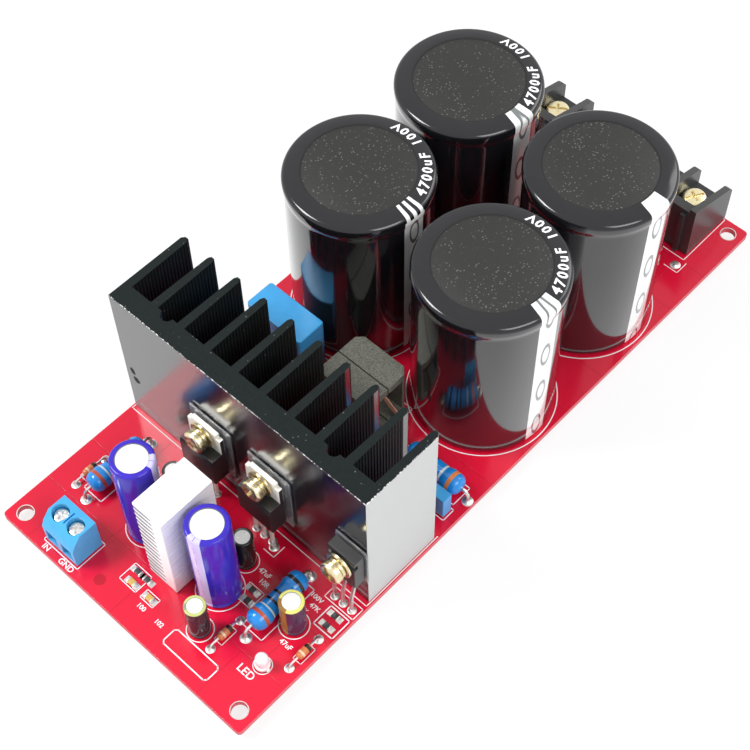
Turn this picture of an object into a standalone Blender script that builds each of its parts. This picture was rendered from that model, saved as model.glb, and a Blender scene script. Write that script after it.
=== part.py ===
"""Audio amplifier board: a drilled circuit board that carries a finned heatsink with its
transistors, four large filter capacitors, an inductor, terminals and small parts.

The frame has its origin at the middle of the board's outline, on the surface that the clipped
leads stand on. X runs along the short side and Y along the long side, from the input terminal
towards the power terminals. Places along the board are measured from its front left corner.
"""

import bpy
import bmesh
import math
from mathutils import Matrix, Vector

# Clearances and the lead stubs that the board stands on
GAP = 0.0003
STUB = 0.0020
HOLE_CLEARANCE = 0.0003
SEAT_GAP = 0.0003
EMBED = 0.0006

# Filter capacitors, in two rows of two
CAN_DIAMETER = 0.0350
CAN_HEIGHT = 0.0495
CAN_GAP_X = 0.0037
CAN_GAP_Y = 0.0020
CAN_OFFSET_X = 0.0004
CAN_PIN_SPACING = 0.0100
CAN_PIN_RADIUS = 0.0007
CAN_RIM_WIDTH = 0.0043
CAN_ROUND = 0.0009
CAN_DISC_DEPTH = 0.0006
CAN_BEAD = 0.0008
CAN_BEAD_DROP = 0.0043
CAN_BEAD_HALF = 0.0009
CAN_BEAD_FLOOR = 0.0003
CAN_SIDES = 24

# Main heatsink, an extrusion that stands upright
SINK_HEIGHT = 0.0436
SINK_DEPTH = 0.0222
SINK_BASE = 0.0050
SINK_SIDE_MARGIN = 0.0006
SINK_FRONT = 0.0403
FIN_COUNT = 10
FIN_THICKNESS = 0.0022
FIN_TIP_THICKNESS = 0.0017
CHANNEL_RADIUS = 0.0016
CHANNEL_GAPS = (1, 7)
SINK_SCREW_RADIUS = 0.0013
SINK_SCREW_HEAD = 0.0027
SINK_SCREW_HEAD_HEIGHT = 0.0016
SINK_SCREW_LENGTH = 0.0090

# Rows of parts behind the heatsink
CAN_ROW_CLEARANCE = 0.0189
BARRIER_CLEARANCE = 0.0110
BARRIER_DEPTH = 0.0166

# The board itself
SINK_BACK = SINK_FRONT + SINK_DEPTH
CAN_ROWS = [SINK_BACK + CAN_ROW_CLEARANCE + CAN_DIAMETER / 2]
CAN_ROWS.append(CAN_ROWS[0] + CAN_DIAMETER + CAN_GAP_Y)
BARRIER_REAR = CAN_ROWS[1] + CAN_DIAMETER / 2 + BARRIER_CLEARANCE
BOARD_LENGTH = BARRIER_REAR + BARRIER_DEPTH
BOARD_THICKNESS = 0.0016
BOARD_CORNER = 0.0010
BOARD_TOP = STUB + BOARD_THICKNESS
SEAT = BOARD_TOP + SEAT_GAP
MOUNT_INSET = 0.0037
MOUNT_RADIUS = 0.0019

# Solder cone of a lead under the board
CONE_RADIUS = 0.0011
CONE_HEIGHT = 0.0012
LEAD_RADIUS = 0.0004
FINE_LEAD_RADIUS = 0.0003

# Tab transistors
TAB_WIDTH = 0.0102
TAB_THICKNESS = 0.0013
TAB_TOP = 0.0250
TAB_HOLE_DROP = 0.0029
TAB_HOLE_RADIUS = 0.0019
TAB_HEIGHT = 0.0064
PACKAGE_HEIGHT = 0.0157
PACKAGE_THICKNESS = 0.0045
PACKAGE_LEAD_SETBACK = 0.0026
PACKAGE_LEAD_RADIUS = 0.0005
PACKAGE_DRAFT = 0.0004
TAB_NOTCH = 0.0012
LEAD_PITCH = 0.00254
PAD_THICKNESS = 0.0004
PAD_MARGIN = 0.0012
PAD_SHIFT = 0.0005
SMALL_PAD_MARGIN = 0.0006

# Small transistor at the right end of the heatsink
SMALL_WIDTH = 0.0078
SMALL_HEIGHT = 0.0108
SMALL_THICKNESS = 0.0029
SMALL_TOP = 0.0232
SMALL_HOLE_DROP = 0.0038
SMALL_HOLE_RADIUS = 0.0017
SMALL_LEAD_FORWARD = 0.0014
SMALL_LEAD_RADIUS = 0.00045
SMALL_CHAMFER = 0.0003
SMALL_NOTCH_WIDTH = 0.0011
SMALL_NOTCH_HEIGHT = 0.0017
SMALL_NOTCH_DEPTH = 0.0011

# Screws with captive washers that hold the transistors
FIXING_HEAD_RADIUS = 0.0028
FIXING_HEAD_HEIGHT = 0.0018
FIXING_SHANK = 0.00145
FIXING_SPRING_RADIUS = 0.0026
FIXING_SPRING_THICKNESS = 0.0008
FIXING_WASHER_RADIUS = 0.0034
FIXING_WASHER_THICKNESS = 0.0006
FIXING_GROOVE = 0.0002
FIXING_LENGTH = 0.0075

# Silver comb heatsink
COMB_FRONT = 0.0133
COMB_DEPTH = 0.0086
COMB_LENGTH = 0.0148
COMB_HEIGHT = 0.0305
COMB_BASE = 0.0032
COMB_FINS = 16
COMB_FIN_SHARE = 0.52
COMB_PIN_INSET = 0.0020
COMB_PIN_RADIUS = 0.0006

# Slim violet capacitors and small capacitors: centre, diameter, height
SLIM_DIAMETER = 0.0100
SLIM_HEIGHT = 0.0298
SLIM_PIN_SPACING = 0.0050
SLIM_Y = 0.0206
SMALL_CAN_PINS = 0.0020

# Dog-bone resistors: middle of the body, length of the body and lead spacing
RESISTOR_DIAMETER = 0.0054
RESISTOR_WAIST = 0.0046
RESISTOR_LENGTH = 0.0160
RESISTOR_LIFT = 0.0035
RESISTOR_PITCH = 0.0200
RESISTOR_STEP = 0.0006

# Glass diodes
DIODE_DIAMETER = 0.0019
DIODE_LENGTH = 0.0039
DIODE_PITCH = 0.0090

# Indicator
LED_RADIUS = 0.0015
LED_HEIGHT = 0.0045
LED_FLANGE = 0.0010

# Input terminal with two rising cages
INPUT_LEFT = 0.0124
INPUT_FRONT = 0.0027
INPUT_PITCH = 0.00508
INPUT_SIDE = 0.00265
INPUT_DEPTH = 0.0075
INPUT_HEIGHT = 0.0100
INPUT_WALL = 0.0010
INPUT_SCREW_RADIUS = 0.0018
INPUT_SCREW_SHANK = 0.0012
INPUT_SCREW_DEPTH = 0.0006
INPUT_CAGE_WIDTH = 0.0034
INPUT_CAGE_WALL = 0.0005
INPUT_CAGE_TRAVEL = 0.0018
INPUT_TONGUE = 0.0006
INPUT_FLOOR = 0.0008
INPUT_SILL = 0.0004
INPUT_PIN_SLOT = 0.0010
INPUT_PIN_RADIUS = 0.0005
INPUT_STRIP = 0.0004
INPUT_SLOT = 0.0007
INPUT_CAGE_SETBACK = 0.0022
INPUT_CAGE_HEIGHT = 3 * INPUT_CAGE_WALL + INPUT_CAGE_TRAVEL + INPUT_TONGUE + 2 * GAP

# Barrier terminals at the far edge
BARRIER_PITCH = 0.0095
BARRIER_DIVIDER = 0.0018
BARRIER_REAR_HEIGHT = 0.0152
BARRIER_DIVIDER_REAR = 0.0164
BARRIER_DIVIDER_FRONT = 0.0120
BARRIER_REAR_WALL = 0.0026
BARRIER_FLOOR = 0.0066
BARRIER_RIB = 0.0010
BARRIER_RIB_WIDTH = 0.0012
BARRIER_RIB_OFFSET = 0.0020
BARRIER_LIP = 0.0012
CONTACT_LEG_SETBACK = 0.0010
CONTACT_LEG_RADIUS = 0.0006
PLATE_THICKNESS = 0.0008
PLATE_LENGTH = 0.0096
CLAMP_SCREW_SETBACK = 0.0083
CLAMP_WASHER = 0.0070
CLAMP_WASHER_THICKNESS = 0.0008
CLAMP_HEAD_RADIUS = 0.0032
CLAMP_HEAD_HEIGHT = 0.0021
CLAMP_SHANK = 0.0017
CLAMP_SHANK_LENGTH = 0.0050
CLAMP_SLOT = 0.0008

# Inductor
CORE_SINK_CLEARANCE = 0.0068
CORE_WIDTH = 0.0156
CORE_DEPTH = 0.0142
CORE_HEIGHT = 0.0160
CORE_WALL = 0.0024
CORE_POST_RADIUS = 0.0030
COIL_RADIUS = 0.0050
COIL_LEAD_CLEARANCE = 0.0010
COIL_DROP = 0.0030
FORMER_WALL = 0.0006
CORE_CORNER = 0.0016
COIL_WIRE_RADIUS = 0.00055

# Surface-mount chips: length, width, height
CHIP_RESISTOR = (0.0020, 0.0012, 0.0005)
CHIP_CAPACITOR = (0.0020, 0.0013, 0.0008)

# Driver under the board
DRIVER_SIZE = (0.0099, 0.0039, 0.0014)
DRIVER_LEG = 0.0010
DRIVER_LEG_COUNT = 8
DRIVER_LEG_PITCH = 0.00127
DRIVER_LEG_HALF_WIDTH = 0.0002
DRIVER_LEG_THICKNESS = 0.0003

# Places across the board, from its left edge, each one set off from the piece before it
DIODE_LEFT_X = 0.0066
RESISTOR_LEFT_X = DIODE_LEFT_X + 0.0047
SLIM_LEFT_X = RESISTOR_LEFT_X + RESISTOR_DIAMETER / 2 + 0.0081 + SLIM_DIAMETER / 2
COMB_LEFT = SLIM_LEFT_X + SLIM_DIAMETER / 2 + 0.0032
SLIM_RIGHT_X = COMB_LEFT + COMB_DEPTH + 0.0011 + SLIM_DIAMETER / 2
DIODE_MIDDLE_X = SLIM_RIGHT_X + SLIM_DIAMETER / 2 + 0.0028 + DIODE_DIAMETER / 2
RESISTOR_MIDDLE_X = DIODE_MIDDLE_X + DIODE_DIAMETER / 2 + 0.0002 + RESISTOR_DIAMETER / 2
SMALL_RIGHT_X = RESISTOR_MIDDLE_X + 0.0054
DIODE_RIGHT_X = SMALL_RIGHT_X + 0.0064
BOARD_WIDTH = DIODE_RIGHT_X + 0.0026
CORE_LEFT = COMB_LEFT - 0.0020
TAB_CENTRES = (SLIM_LEFT_X + 0.0026, SLIM_RIGHT_X - 0.0023)
SMALL_CENTRE = BOARD_WIDTH - 0.0046
LED_PLACE = (SMALL_RIGHT_X + 0.0017, 0.0142)
BARRIER_LEFTS = (0.0143, BOARD_WIDTH - 0.0282)
SLIM_PLACES = ((SLIM_LEFT_X, SLIM_Y), (SLIM_RIGHT_X, SLIM_Y))
DRIVER_CENTRE = (DIODE_MIDDLE_X - 0.0028, 0.0300)

# Small capacitors: middle, diameter, height
SMALL_CANS = {
    "small_capacitor_left": (SLIM_RIGHT_X + 0.0038, 0.0109, 0.0050, 0.0116),
    "small_capacitor_right": (SMALL_RIGHT_X, 0.0255, 0.0058, 0.0114),
    "small_capacitor_centre": (SLIM_RIGHT_X - 0.0006, 0.0292, 0.0048, 0.0113),
    "small_capacitor_rear": (SLIM_LEFT_X - 0.0009, 0.0303, 0.0050, 0.0116),
}

# Parts that lie along the board: middle of the body and its direction
RESISTORS = {
    "resistor_left": (RESISTOR_LEFT_X, 0.0254, "Y"),
    "resistor_middle": (RESISTOR_MIDDLE_X, 0.0262, "Y"),
    "resistor_right": (BOARD_WIDTH - 0.0114, SINK_BACK + 0.0115, "X"),
}
DIODES = {
    "diode_left": (DIODE_LEFT_X, 0.0209),
    "diode_middle": (DIODE_MIDDLE_X, 0.0137),
    "diode_right": (DIODE_RIGHT_X, 0.0221),
}

# Film capacitors: left, front, width, depth, height and the spacing of the leads
FILM_CAPS = {
    "film_capacitor_large": (0.0076, SINK_BACK + 0.0093, 0.0176, 0.0083, 0.0158, 0.0150),
    "film_capacitor_small": (BOARD_WIDTH - 0.0098, SINK_BACK + 0.0044, 0.0072, 0.0028, 0.0070, 0.0050),
}

# Surface-mount chips: middle and size
CHIP_PARTS = (
    (COMB_LEFT - 0.0016, 0.0110, *CHIP_RESISTOR),
    (COMB_LEFT + 0.0015, 0.0110, *CHIP_RESISTOR),
    (COMB_LEFT - 0.0006, 0.0083, *CHIP_CAPACITOR),
    (COMB_LEFT + 0.0051, 0.0083, *CHIP_CAPACITOR),
    (BOARD_WIDTH - 0.0035, 0.0300, *CHIP_RESISTOR),
    (BOARD_WIDTH - 0.0037, 0.0329, *CHIP_RESISTOR),
    (SLIM_RIGHT_X + 0.0056, 0.0251, *CHIP_RESISTOR),
    (SLIM_RIGHT_X + 0.0066, 0.0226, *CHIP_RESISTOR),
)

drilled = []


def clear_scene():
    for obj in list(bpy.data.objects):
        bpy.data.objects.remove(obj, do_unlink=True)


def along_x(value):
    """World X of a place measured from the board's left edge."""
    return value - BOARD_WIDTH / 2


def along_y(value):
    """World Y of a place measured from the board's front edge."""
    return value - BOARD_LENGTH / 2


def make_material(name, colour, roughness, metallic=0.0):
    made = bpy.data.materials.new(name)
    made.use_nodes = True
    shader = made.node_tree.nodes["Principled BSDF"]
    shader.inputs["Base Color"].default_value = (*colour, 1.0)
    shader.inputs["Roughness"].default_value = roughness
    shader.inputs["Metallic"].default_value = metallic
    made.diffuse_color = (*colour, 1.0)
    return made


def add_object(name, shape, material=None):
    """Turns a closed bmesh into an object, with its faces pointing out."""
    bmesh.ops.recalc_face_normals(shape, faces=shape.faces[:])
    mesh = bpy.data.meshes.new(name)
    shape.to_mesh(mesh)
    shape.free()
    obj = bpy.data.objects.new(name, mesh)
    bpy.context.scene.collection.objects.link(obj)
    if material:
        mesh.materials.append(material)
    else:
        obj.hide_render = True
        obj.display_type = "WIRE"
    return obj


def change(obj, shape, operation, label):
    """Adds a Boolean whose operand is a hidden helper that follows the piece."""
    helper = add_object(obj.name + "_" + label, shape)
    helper.parent = obj
    modifier = obj.modifiers.new(label, "BOOLEAN")
    modifier.operation = operation
    modifier.solver = "EXACT"
    modifier.object = helper
    return obj


def cut(obj, shape, label):
    return change(obj, shape, "DIFFERENCE", label)


def join(obj, shape, label):
    return change(obj, shape, "UNION", label)


def smooth(obj, degrees=35):
    obj.data.shade_smooth()
    obj.data.set_sharp_from_angle(angle=math.radians(degrees))


def merged(shapes):
    """One bmesh that holds several separate closed shapes."""
    whole = bmesh.new()
    for shape in shapes:
        mesh = bpy.data.meshes.new("scratch")
        shape.to_mesh(mesh)
        shape.free()
        whole.from_mesh(mesh)
        bpy.data.meshes.remove(mesh)
    return whole


def box(low, high):
    shape = bmesh.new()
    size = [b - a for a, b in zip(low, high)]
    middle = [(a + b) / 2 for a, b in zip(low, high)]
    bmesh.ops.create_cube(shape, size=1.0)
    bmesh.ops.scale(shape, vec=size, verts=shape.verts)
    bmesh.ops.translate(shape, vec=middle, verts=shape.verts)
    return shape


def prism(outline, low, high, axis="Z"):
    """Extrudes an outline along an axis. The outline lies in XY, XZ or YZ."""
    shape = bmesh.new()
    place = {
        "Z": lambda a, b: (a, b, low),
        "Y": lambda a, b: (a, low, b),
        "X": lambda a, b: (low, a, b),
    }[axis]
    face = shape.faces.new([shape.verts.new(place(a, b)) for a, b in outline])
    grown = bmesh.ops.extrude_face_region(shape, geom=[face])["geom"]
    step = {"Z": (0, 0, high - low), "Y": (0, high - low, 0), "X": (high - low, 0, 0)}[axis]
    moved = [item for item in grown if isinstance(item, bmesh.types.BMVert)]
    bmesh.ops.translate(shape, vec=step, verts=moved)
    bmesh.ops.recalc_face_normals(shape, faces=shape.faces[:])
    return shape


def turned(profile, centre, sides, axis="Z"):
    """Turns a profile of (radius, height) points about an axis through the centre."""
    shape = bmesh.new()
    rings = []
    for radius, height in profile:
        if radius == 0:
            rings.append([shape.verts.new((0, 0, height))])
            continue
        ring = []
        for index in range(sides):
            angle = 2 * math.pi * (index + 0.5) / sides
            ring.append(shape.verts.new((radius * math.cos(angle), radius * math.sin(angle), height)))
        rings.append(ring)
    for lower, upper in zip(rings, rings[1:]):
        for index in range(sides):
            after = (index + 1) % sides
            if len(lower) == 1:
                shape.faces.new((lower[0], upper[index], upper[after]))
            elif len(upper) == 1:
                shape.faces.new((lower[index], lower[after], upper[0]))
            else:
                shape.faces.new((lower[index], lower[after], upper[after], upper[index]))
    turn = {
        "Z": Matrix.Identity(4),
        "Y": Matrix.Rotation(-math.pi / 2, 4, "X"),
        "X": Matrix.Rotation(math.pi / 2, 4, "Y"),
    }[axis]
    bmesh.ops.transform(shape, matrix=Matrix.Translation(centre) @ turn, verts=shape.verts)
    bmesh.ops.recalc_face_normals(shape, faces=shape.faces[:])
    return shape


def rod(radius, low, high, centre, sides, axis="Z"):
    return turned([(0, low), (radius, low), (radius, high), (0, high)], centre, sides, axis)


def lead(path, radius=LEAD_RADIUS, sides=5):
    """A lead along a path that ends over its hole, then down through the board.

    It is mitred where the path bends, and ends in its solder cone and clipped tip.
    """
    shape = bmesh.new()
    points = [Vector(point) for point in path]
    down = Vector((0, 0, -1))
    runs = [(b - a).normalized() for a, b in zip(points, points[1:])] + [down]
    side = runs[0].cross(down).normalized() if abs(runs[0].z) < 0.9 else Vector((1, 0, 0))
    rings = []
    for index, point in enumerate(points):
        before, after = runs[max(index - 1, 0)], runs[index]
        cross = before.cross(side).normalized()
        mitre = (before + after).normalized()
        ring = []
        for step in range(sides):
            angle = 2 * math.pi * (step + 0.5) / sides
            spoke = radius * (math.cos(angle) * side + math.sin(angle) * cross)
            slide = spoke.dot(mitre) / before.dot(mitre)
            ring.append(shape.verts.new(point + spoke - slide * before))
        rings.append(ring)
    x, y = points[-1].x, points[-1].y
    under = STUB - GAP
    cone = max(CONE_RADIUS, radius + 2 * HOLE_CLEARANCE)
    cross = down.cross(side).normalized()
    for reach, height in ((radius, under), (cone, under), (radius, under - CONE_HEIGHT), (radius, 0)):
        ring = []
        for step in range(sides):
            angle = 2 * math.pi * (step + 0.5) / sides
            spoke = reach * (math.cos(angle) * side + math.sin(angle) * cross)
            ring.append(shape.verts.new(Vector((x, y, height)) + spoke))
        rings.append(ring)
    for upper, lower in zip(rings, rings[1:]):
        for step in range(sides):
            after = (step + 1) % sides
            shape.faces.new((lower[step], lower[after], upper[after], upper[step]))
    shape.faces.new(rings[0])
    shape.faces.new(rings[-1])
    bmesh.ops.recalc_face_normals(shape, faces=shape.faces[:])
    drilled.append((x, y, radius + HOLE_CLEARANCE, sides))
    return shape


def circuit_board():
    half_x, half_y = BOARD_WIDTH / 2, BOARD_LENGTH / 2
    outline = []
    for sign_x, sign_y, start in ((1, 1, 0), (-1, 1, 90), (-1, -1, 180), (1, -1, 270)):
        for step in range(4):
            angle = math.radians(start + 30 * step)
            outline.append(
                (
                    sign_x * (half_x - BOARD_CORNER) + BOARD_CORNER * math.cos(angle),
                    sign_y * (half_y - BOARD_CORNER) + BOARD_CORNER * math.sin(angle),
                )
            )
    board = add_object("circuit_board", prism(outline, STUB, BOARD_TOP), RED_MASK)
    low, high = STUB - GAP, BOARD_TOP + GAP
    holes = [rod(radius, low, high, (x, y, 0), sides) for x, y, radius, sides in drilled]
    for sign_x in (-1, 1):
        for sign_y in (-1, 1):
            centre = (sign_x * (half_x - MOUNT_INSET), sign_y * (half_y - MOUNT_INSET), 0)
            holes.append(rod(MOUNT_RADIUS, low, high, centre, 16))
    cut(board, merged(holes), "holes")
    join(board, chip_parts(), "chips")


def filter_capacitors():
    radius = CAN_DIAMETER / 2
    top = SEAT + CAN_HEIGHT
    bead = top - CAN_BEAD_DROP
    profile = [
        (0, SEAT),
        (radius - CAN_ROUND, SEAT),
        (radius, SEAT + CAN_ROUND),
        (radius, bead - CAN_BEAD_HALF),
        (radius - CAN_BEAD, bead - CAN_BEAD_FLOOR),
        (radius - CAN_BEAD, bead + CAN_BEAD_FLOOR),
        (radius, bead + CAN_BEAD_HALF),
        (radius, top - CAN_ROUND),
        (radius - CAN_ROUND, top),
        (radius - CAN_RIM_WIDTH, top),
        (radius - CAN_RIM_WIDTH, top - CAN_DISC_DEPTH),
        (0, top - CAN_DISC_DEPTH),
    ]
    spread = (CAN_DIAMETER + CAN_GAP_X) / 2
    columns = [CAN_OFFSET_X - spread, CAN_OFFSET_X + spread]
    for row, place_y in zip(("front", "rear"), CAN_ROWS):
        for side, x in zip(("left", "right"), columns):
            y = along_y(place_y)
            name = "filter_capacitor_" + row + "_" + side
            can = add_object(name, turned(profile, (x, y, 0), CAN_SIDES), BLACK_SLEEVE)
            offset = CAN_PIN_SPACING / 2
            pins = [lead([(x + s * offset, y, SEAT + EMBED)], CAN_PIN_RADIUS, 4) for s in (-1, 1)]
            join(can, merged(pins), "pins")
            smooth(can)


def fixing_holes():
    """X and Z of the three transistor screws."""
    holes = [(along_x(x), BOARD_TOP + TAB_TOP - TAB_HOLE_DROP) for x in TAB_CENTRES]
    holes.append((along_x(SMALL_CENTRE), BOARD_TOP + SMALL_TOP - SMALL_HOLE_DROP))
    return holes


def main_heatsink():
    left, right = along_x(SINK_SIDE_MARGIN), along_x(BOARD_WIDTH - SINK_SIDE_MARGIN)
    front, root, back = along_y(SINK_FRONT), along_y(SINK_FRONT + SINK_BASE), along_y(SINK_BACK)
    pitch = (right - left - FIN_THICKNESS) / (FIN_COUNT - 1)
    centres = [left + FIN_THICKNESS / 2 + pitch * index for index in range(FIN_COUNT)]
    outline = [(left, front), (right, front)]
    half_root, half_tip = FIN_THICKNESS / 2, FIN_TIP_THICKNESS / 2
    for index in reversed(range(FIN_COUNT)):
        x = centres[index]
        right_root = [] if index == FIN_COUNT - 1 else [(x + half_root, root)]
        left_root = [] if index == 0 else [(x - half_root, root)]
        right_tip = x + (half_root if index == FIN_COUNT - 1 else half_tip)
        left_tip = x - (half_root if index == 0 else half_tip)
        outline += right_root
        outline += [(right_tip, back - half_tip), (x + half_tip / 2, back)]
        outline += [(x - half_tip / 2, back), (left_tip, back - half_tip)]
        outline += left_root
    sink = add_object("main_heatsink", prism(outline, SEAT, SEAT + SINK_HEIGHT), BLACK_ANODISED)
    channels = [(centres[gap] + pitch / 2, root) for gap in CHANNEL_GAPS]
    low, high = SEAT - GAP, SEAT + SINK_HEIGHT + GAP
    cutters = [rod(CHANNEL_RADIUS, low, high, (x, y, 0), 12) for x, y in channels]
    reach = SINK_BASE + 2 * GAP
    for x, z in fixing_holes():
        cutters.append(rod(FIXING_SHANK + GAP, -GAP, reach, (x, front, z), 10, "Y"))
    cut(sink, merged(cutters), "holes")
    for number, (x, y) in enumerate(channels, 1):
        drilled.append((x, y, SINK_SCREW_RADIUS + HOLE_CLEARANCE, 10))
        under = STUB - GAP
        profile = [
            (0, under - SINK_SCREW_HEAD_HEIGHT),
            (SINK_SCREW_HEAD * 0.7, under - SINK_SCREW_HEAD_HEIGHT),
            (SINK_SCREW_HEAD, under - SINK_SCREW_HEAD_HEIGHT * 0.6),
            (SINK_SCREW_HEAD, under),
            (SINK_SCREW_RADIUS, under),
            (SINK_SCREW_RADIUS, under + SINK_SCREW_LENGTH),
            (0, under + SINK_SCREW_LENGTH),
        ]
        screw = add_object("heatsink_screw_%d" % number, turned(profile, (x, y, 0), 10), ZINC)
        smooth(screw)


def power_transistors():
    back = along_y(SINK_FRONT) - 2 * GAP - PAD_THICKNESS
    for number, place_x in enumerate(TAB_CENTRES, 1):
        x = along_x(place_x)
        top = BOARD_TOP + TAB_TOP
        bottom = top - PACKAGE_HEIGHT
        shelf = top - TAB_HEIGHT
        half = TAB_WIDTH / 2
        notch = TAB_NOTCH
        front = back - PACKAGE_THICKNESS
        draft = PACKAGE_DRAFT
        body = [
            (back, bottom),
            (front + draft, bottom),
            (front, bottom + 2 * draft),
            (front, shelf - 2 * draft),
            (front + draft, shelf),
            (back, shelf),
        ]
        name = "power_transistor_%d" % number
        case = add_object(name, prism(body, x - half, x + half, "X"), BLACK_MOULDING)
        tab = [
            (x - half, shelf - EMBED),
            (x + half, shelf - EMBED),
            (x + half, top - notch),
            (x + half - notch, top - notch),
            (x + half - notch, top),
            (x - half + notch, top),
            (x - half + notch, top - notch),
            (x - half, top - notch),
        ]
        tab_front = back - TAB_THICKNESS
        join(case, prism(tab, tab_front, back - EMBED / 4, "Y"), "tab")
        lead_y = back - PACKAGE_LEAD_SETBACK
        legs = []
        for step in (-1, 0, 1):
            legs.append(lead([(x + LEAD_PITCH * step, lead_y, bottom + EMBED)], PACKAGE_LEAD_RADIUS, 4))
        join(case, merged(legs), "legs")
        hole_z = top - TAB_HOLE_DROP
        hole = rod(TAB_HOLE_RADIUS, -TAB_THICKNESS - GAP, GAP, (x, back, hole_z), 12, "Y")
        cut(case, hole, "hole")


def small_transistor():
    x = along_x(SMALL_CENTRE)
    back = along_y(SINK_FRONT) - 2 * GAP - PAD_THICKNESS
    front = back - SMALL_THICKNESS
    top = BOARD_TOP + SMALL_TOP
    bottom = top - SMALL_HEIGHT
    half = SMALL_WIDTH / 2
    chamfer = SMALL_CHAMFER
    body = [
        (back, bottom),
        (front + chamfer, bottom),
        (front, bottom + 2 * chamfer),
        (front, top - 2 * chamfer),
        (front + chamfer, top),
        (back, top),
    ]
    case = add_object("driver_transistor", prism(body, x - half, x + half, "X"), BLACK_MOULDING)
    start_y = (front + back) / 2
    foot_y = start_y - SMALL_LEAD_FORWARD
    legs = []
    for step in (-1, 0, 1):
        leg_x = x + LEAD_PITCH * step
        path = [
            (leg_x, start_y, bottom + EMBED),
            (leg_x, start_y, bottom - EMBED),
            (leg_x, foot_y, BOARD_TOP + SMALL_TOP / 4),
        ]
        legs.append(lead(path, SMALL_LEAD_RADIUS, 4))
    join(case, merged(legs), "legs")
    notches = []
    for side in (-1, 1):
        low_x, high_x = sorted((x + side * (half + GAP), x + side * (half - SMALL_NOTCH_WIDTH)))
        middle_z = top - SMALL_HOLE_DROP + SMALL_HOLE_RADIUS
        low = (low_x, front - GAP, middle_z - SMALL_NOTCH_HEIGHT / 2)
        high = (high_x, front + SMALL_NOTCH_DEPTH, middle_z + SMALL_NOTCH_HEIGHT / 2)
        notches.append(box(low, high))
    cut(case, merged(notches), "notches")
    hole_z = top - SMALL_HOLE_DROP
    hole = rod(SMALL_HOLE_RADIUS, -SMALL_THICKNESS - GAP, GAP, (x, back, hole_z), 12, "Y")
    cut(case, hole, "hole")


def insulating_pads():
    front = along_y(SINK_FRONT) - GAP - PAD_THICKNESS
    tab = (TAB_WIDTH, TAB_TOP, TAB_TOP - PACKAGE_HEIGHT, PAD_MARGIN, PAD_SHIFT)
    small = (SMALL_WIDTH, SMALL_TOP, SMALL_TOP - SMALL_HEIGHT, SMALL_PAD_MARGIN, 0)
    for number, ((x, z), sizes) in enumerate(zip(fixing_holes(), (tab, tab, small)), 1):
        width, top, bottom, margin, shift = sizes
        low = (x - width / 2 - margin + shift, front, BOARD_TOP + bottom - margin)
        high = (x + width / 2 + margin + shift, front + PAD_THICKNESS, BOARD_TOP + top + margin)
        pad = add_object("insulating_pad_%d" % number, box(low, high), PAD_FILM)
        cut(pad, rod(FIXING_SHANK + GAP, -GAP, PAD_THICKNESS + GAP, (x, front, z), 10, "Y"), "hole")


def fixing_screws():
    """Screws whose spring washer and flat washer stay on them."""
    tab_front = along_y(SINK_FRONT) - 2 * GAP - PAD_THICKNESS - TAB_THICKNESS
    case_front = along_y(SINK_FRONT) - 2 * GAP - PAD_THICKNESS - SMALL_THICKNESS
    for number, (x, z) in enumerate(fixing_holes(), 1):
        face = tab_front if number < 3 else case_front
        at = GAP
        flat = at + FIXING_WASHER_THICKNESS
        spring_low = flat + FIXING_GROOVE
        spring = spring_low + FIXING_SPRING_THICKNESS
        head_low = spring + FIXING_GROOVE
        head = head_low + FIXING_HEAD_HEIGHT
        core = FIXING_SHANK
        profile = [
            (0, head),
            (FIXING_HEAD_RADIUS * 0.72, head),
            (FIXING_HEAD_RADIUS, head - FIXING_HEAD_HEIGHT * 0.4),
            (FIXING_HEAD_RADIUS, head_low),
            (core * 1.2, head_low),
            (core * 1.2, spring),
            (FIXING_SPRING_RADIUS, spring),
            (FIXING_SPRING_RADIUS, spring_low),
            (core * 1.2, spring_low),
            (core * 1.2, flat),
            (FIXING_WASHER_RADIUS, flat),
            (FIXING_WASHER_RADIUS, at),
            (core, at),
            (core, at - FIXING_LENGTH),
            (0, at - FIXING_LENGTH),
        ]
        profile = [(radius, -height) for radius, height in profile]
        screw = add_object("fixing_screw_%d" % number, turned(profile, (x, face, z), 10, "Y"), ZINC)
        smooth(screw)


def comb_heatsink():
    left, right = along_x(COMB_LEFT), along_x(COMB_LEFT + COMB_DEPTH)
    base = right - COMB_BASE
    low = SEAT
    pitch = COMB_HEIGHT / (COMB_FINS - 1 + COMB_FIN_SHARE)
    thick = pitch * COMB_FIN_SHARE
    outline = [(right, low), (right, low + COMB_HEIGHT)]
    for index in reversed(range(COMB_FINS)):
        z = low + pitch * index
        outline += [(left, z + thick), (left, z)]
        if index:
            outline += [(base, z), (base, z - pitch + thick)]
    front = along_y(COMB_FRONT)
    comb = add_object("comb_heatsink", prism(outline, front, front + COMB_LENGTH, "Y"), SILVER)
    pins = []
    for y in (front + COMB_PIN_INSET, front + COMB_LENGTH - COMB_PIN_INSET):
        pins.append(lead([(right - COMB_BASE / 2, y, SEAT + EMBED)], COMB_PIN_RADIUS, 4))
    join(comb, merged(pins), "pins")


def round_capacitor(name, x, y, diameter, height, pin_spacing, material, sides):
    radius = diameter / 2
    top = SEAT + height
    step = diameter * 0.03
    profile = [
        (0, SEAT),
        (radius - step, SEAT),
        (radius, SEAT + step),
        (radius, SEAT + 3.2 * step),
        (radius - step, SEAT + 4.4 * step),
        (radius, SEAT + 5.6 * step),
        (radius, top - step),
        (radius - step, top),
        (radius * 0.80, top),
        (radius * 0.78, top - step),
        (0, top - step),
    ]
    can = add_object(name, turned(profile, (x, y, 0), sides), material)
    leads = []
    for side in (-1, 1):
        leads.append(lead([(x, y + side * pin_spacing / 2, SEAT + EMBED)], FINE_LEAD_RADIUS))
    join(can, merged(leads), "leads")
    smooth(can)


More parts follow.
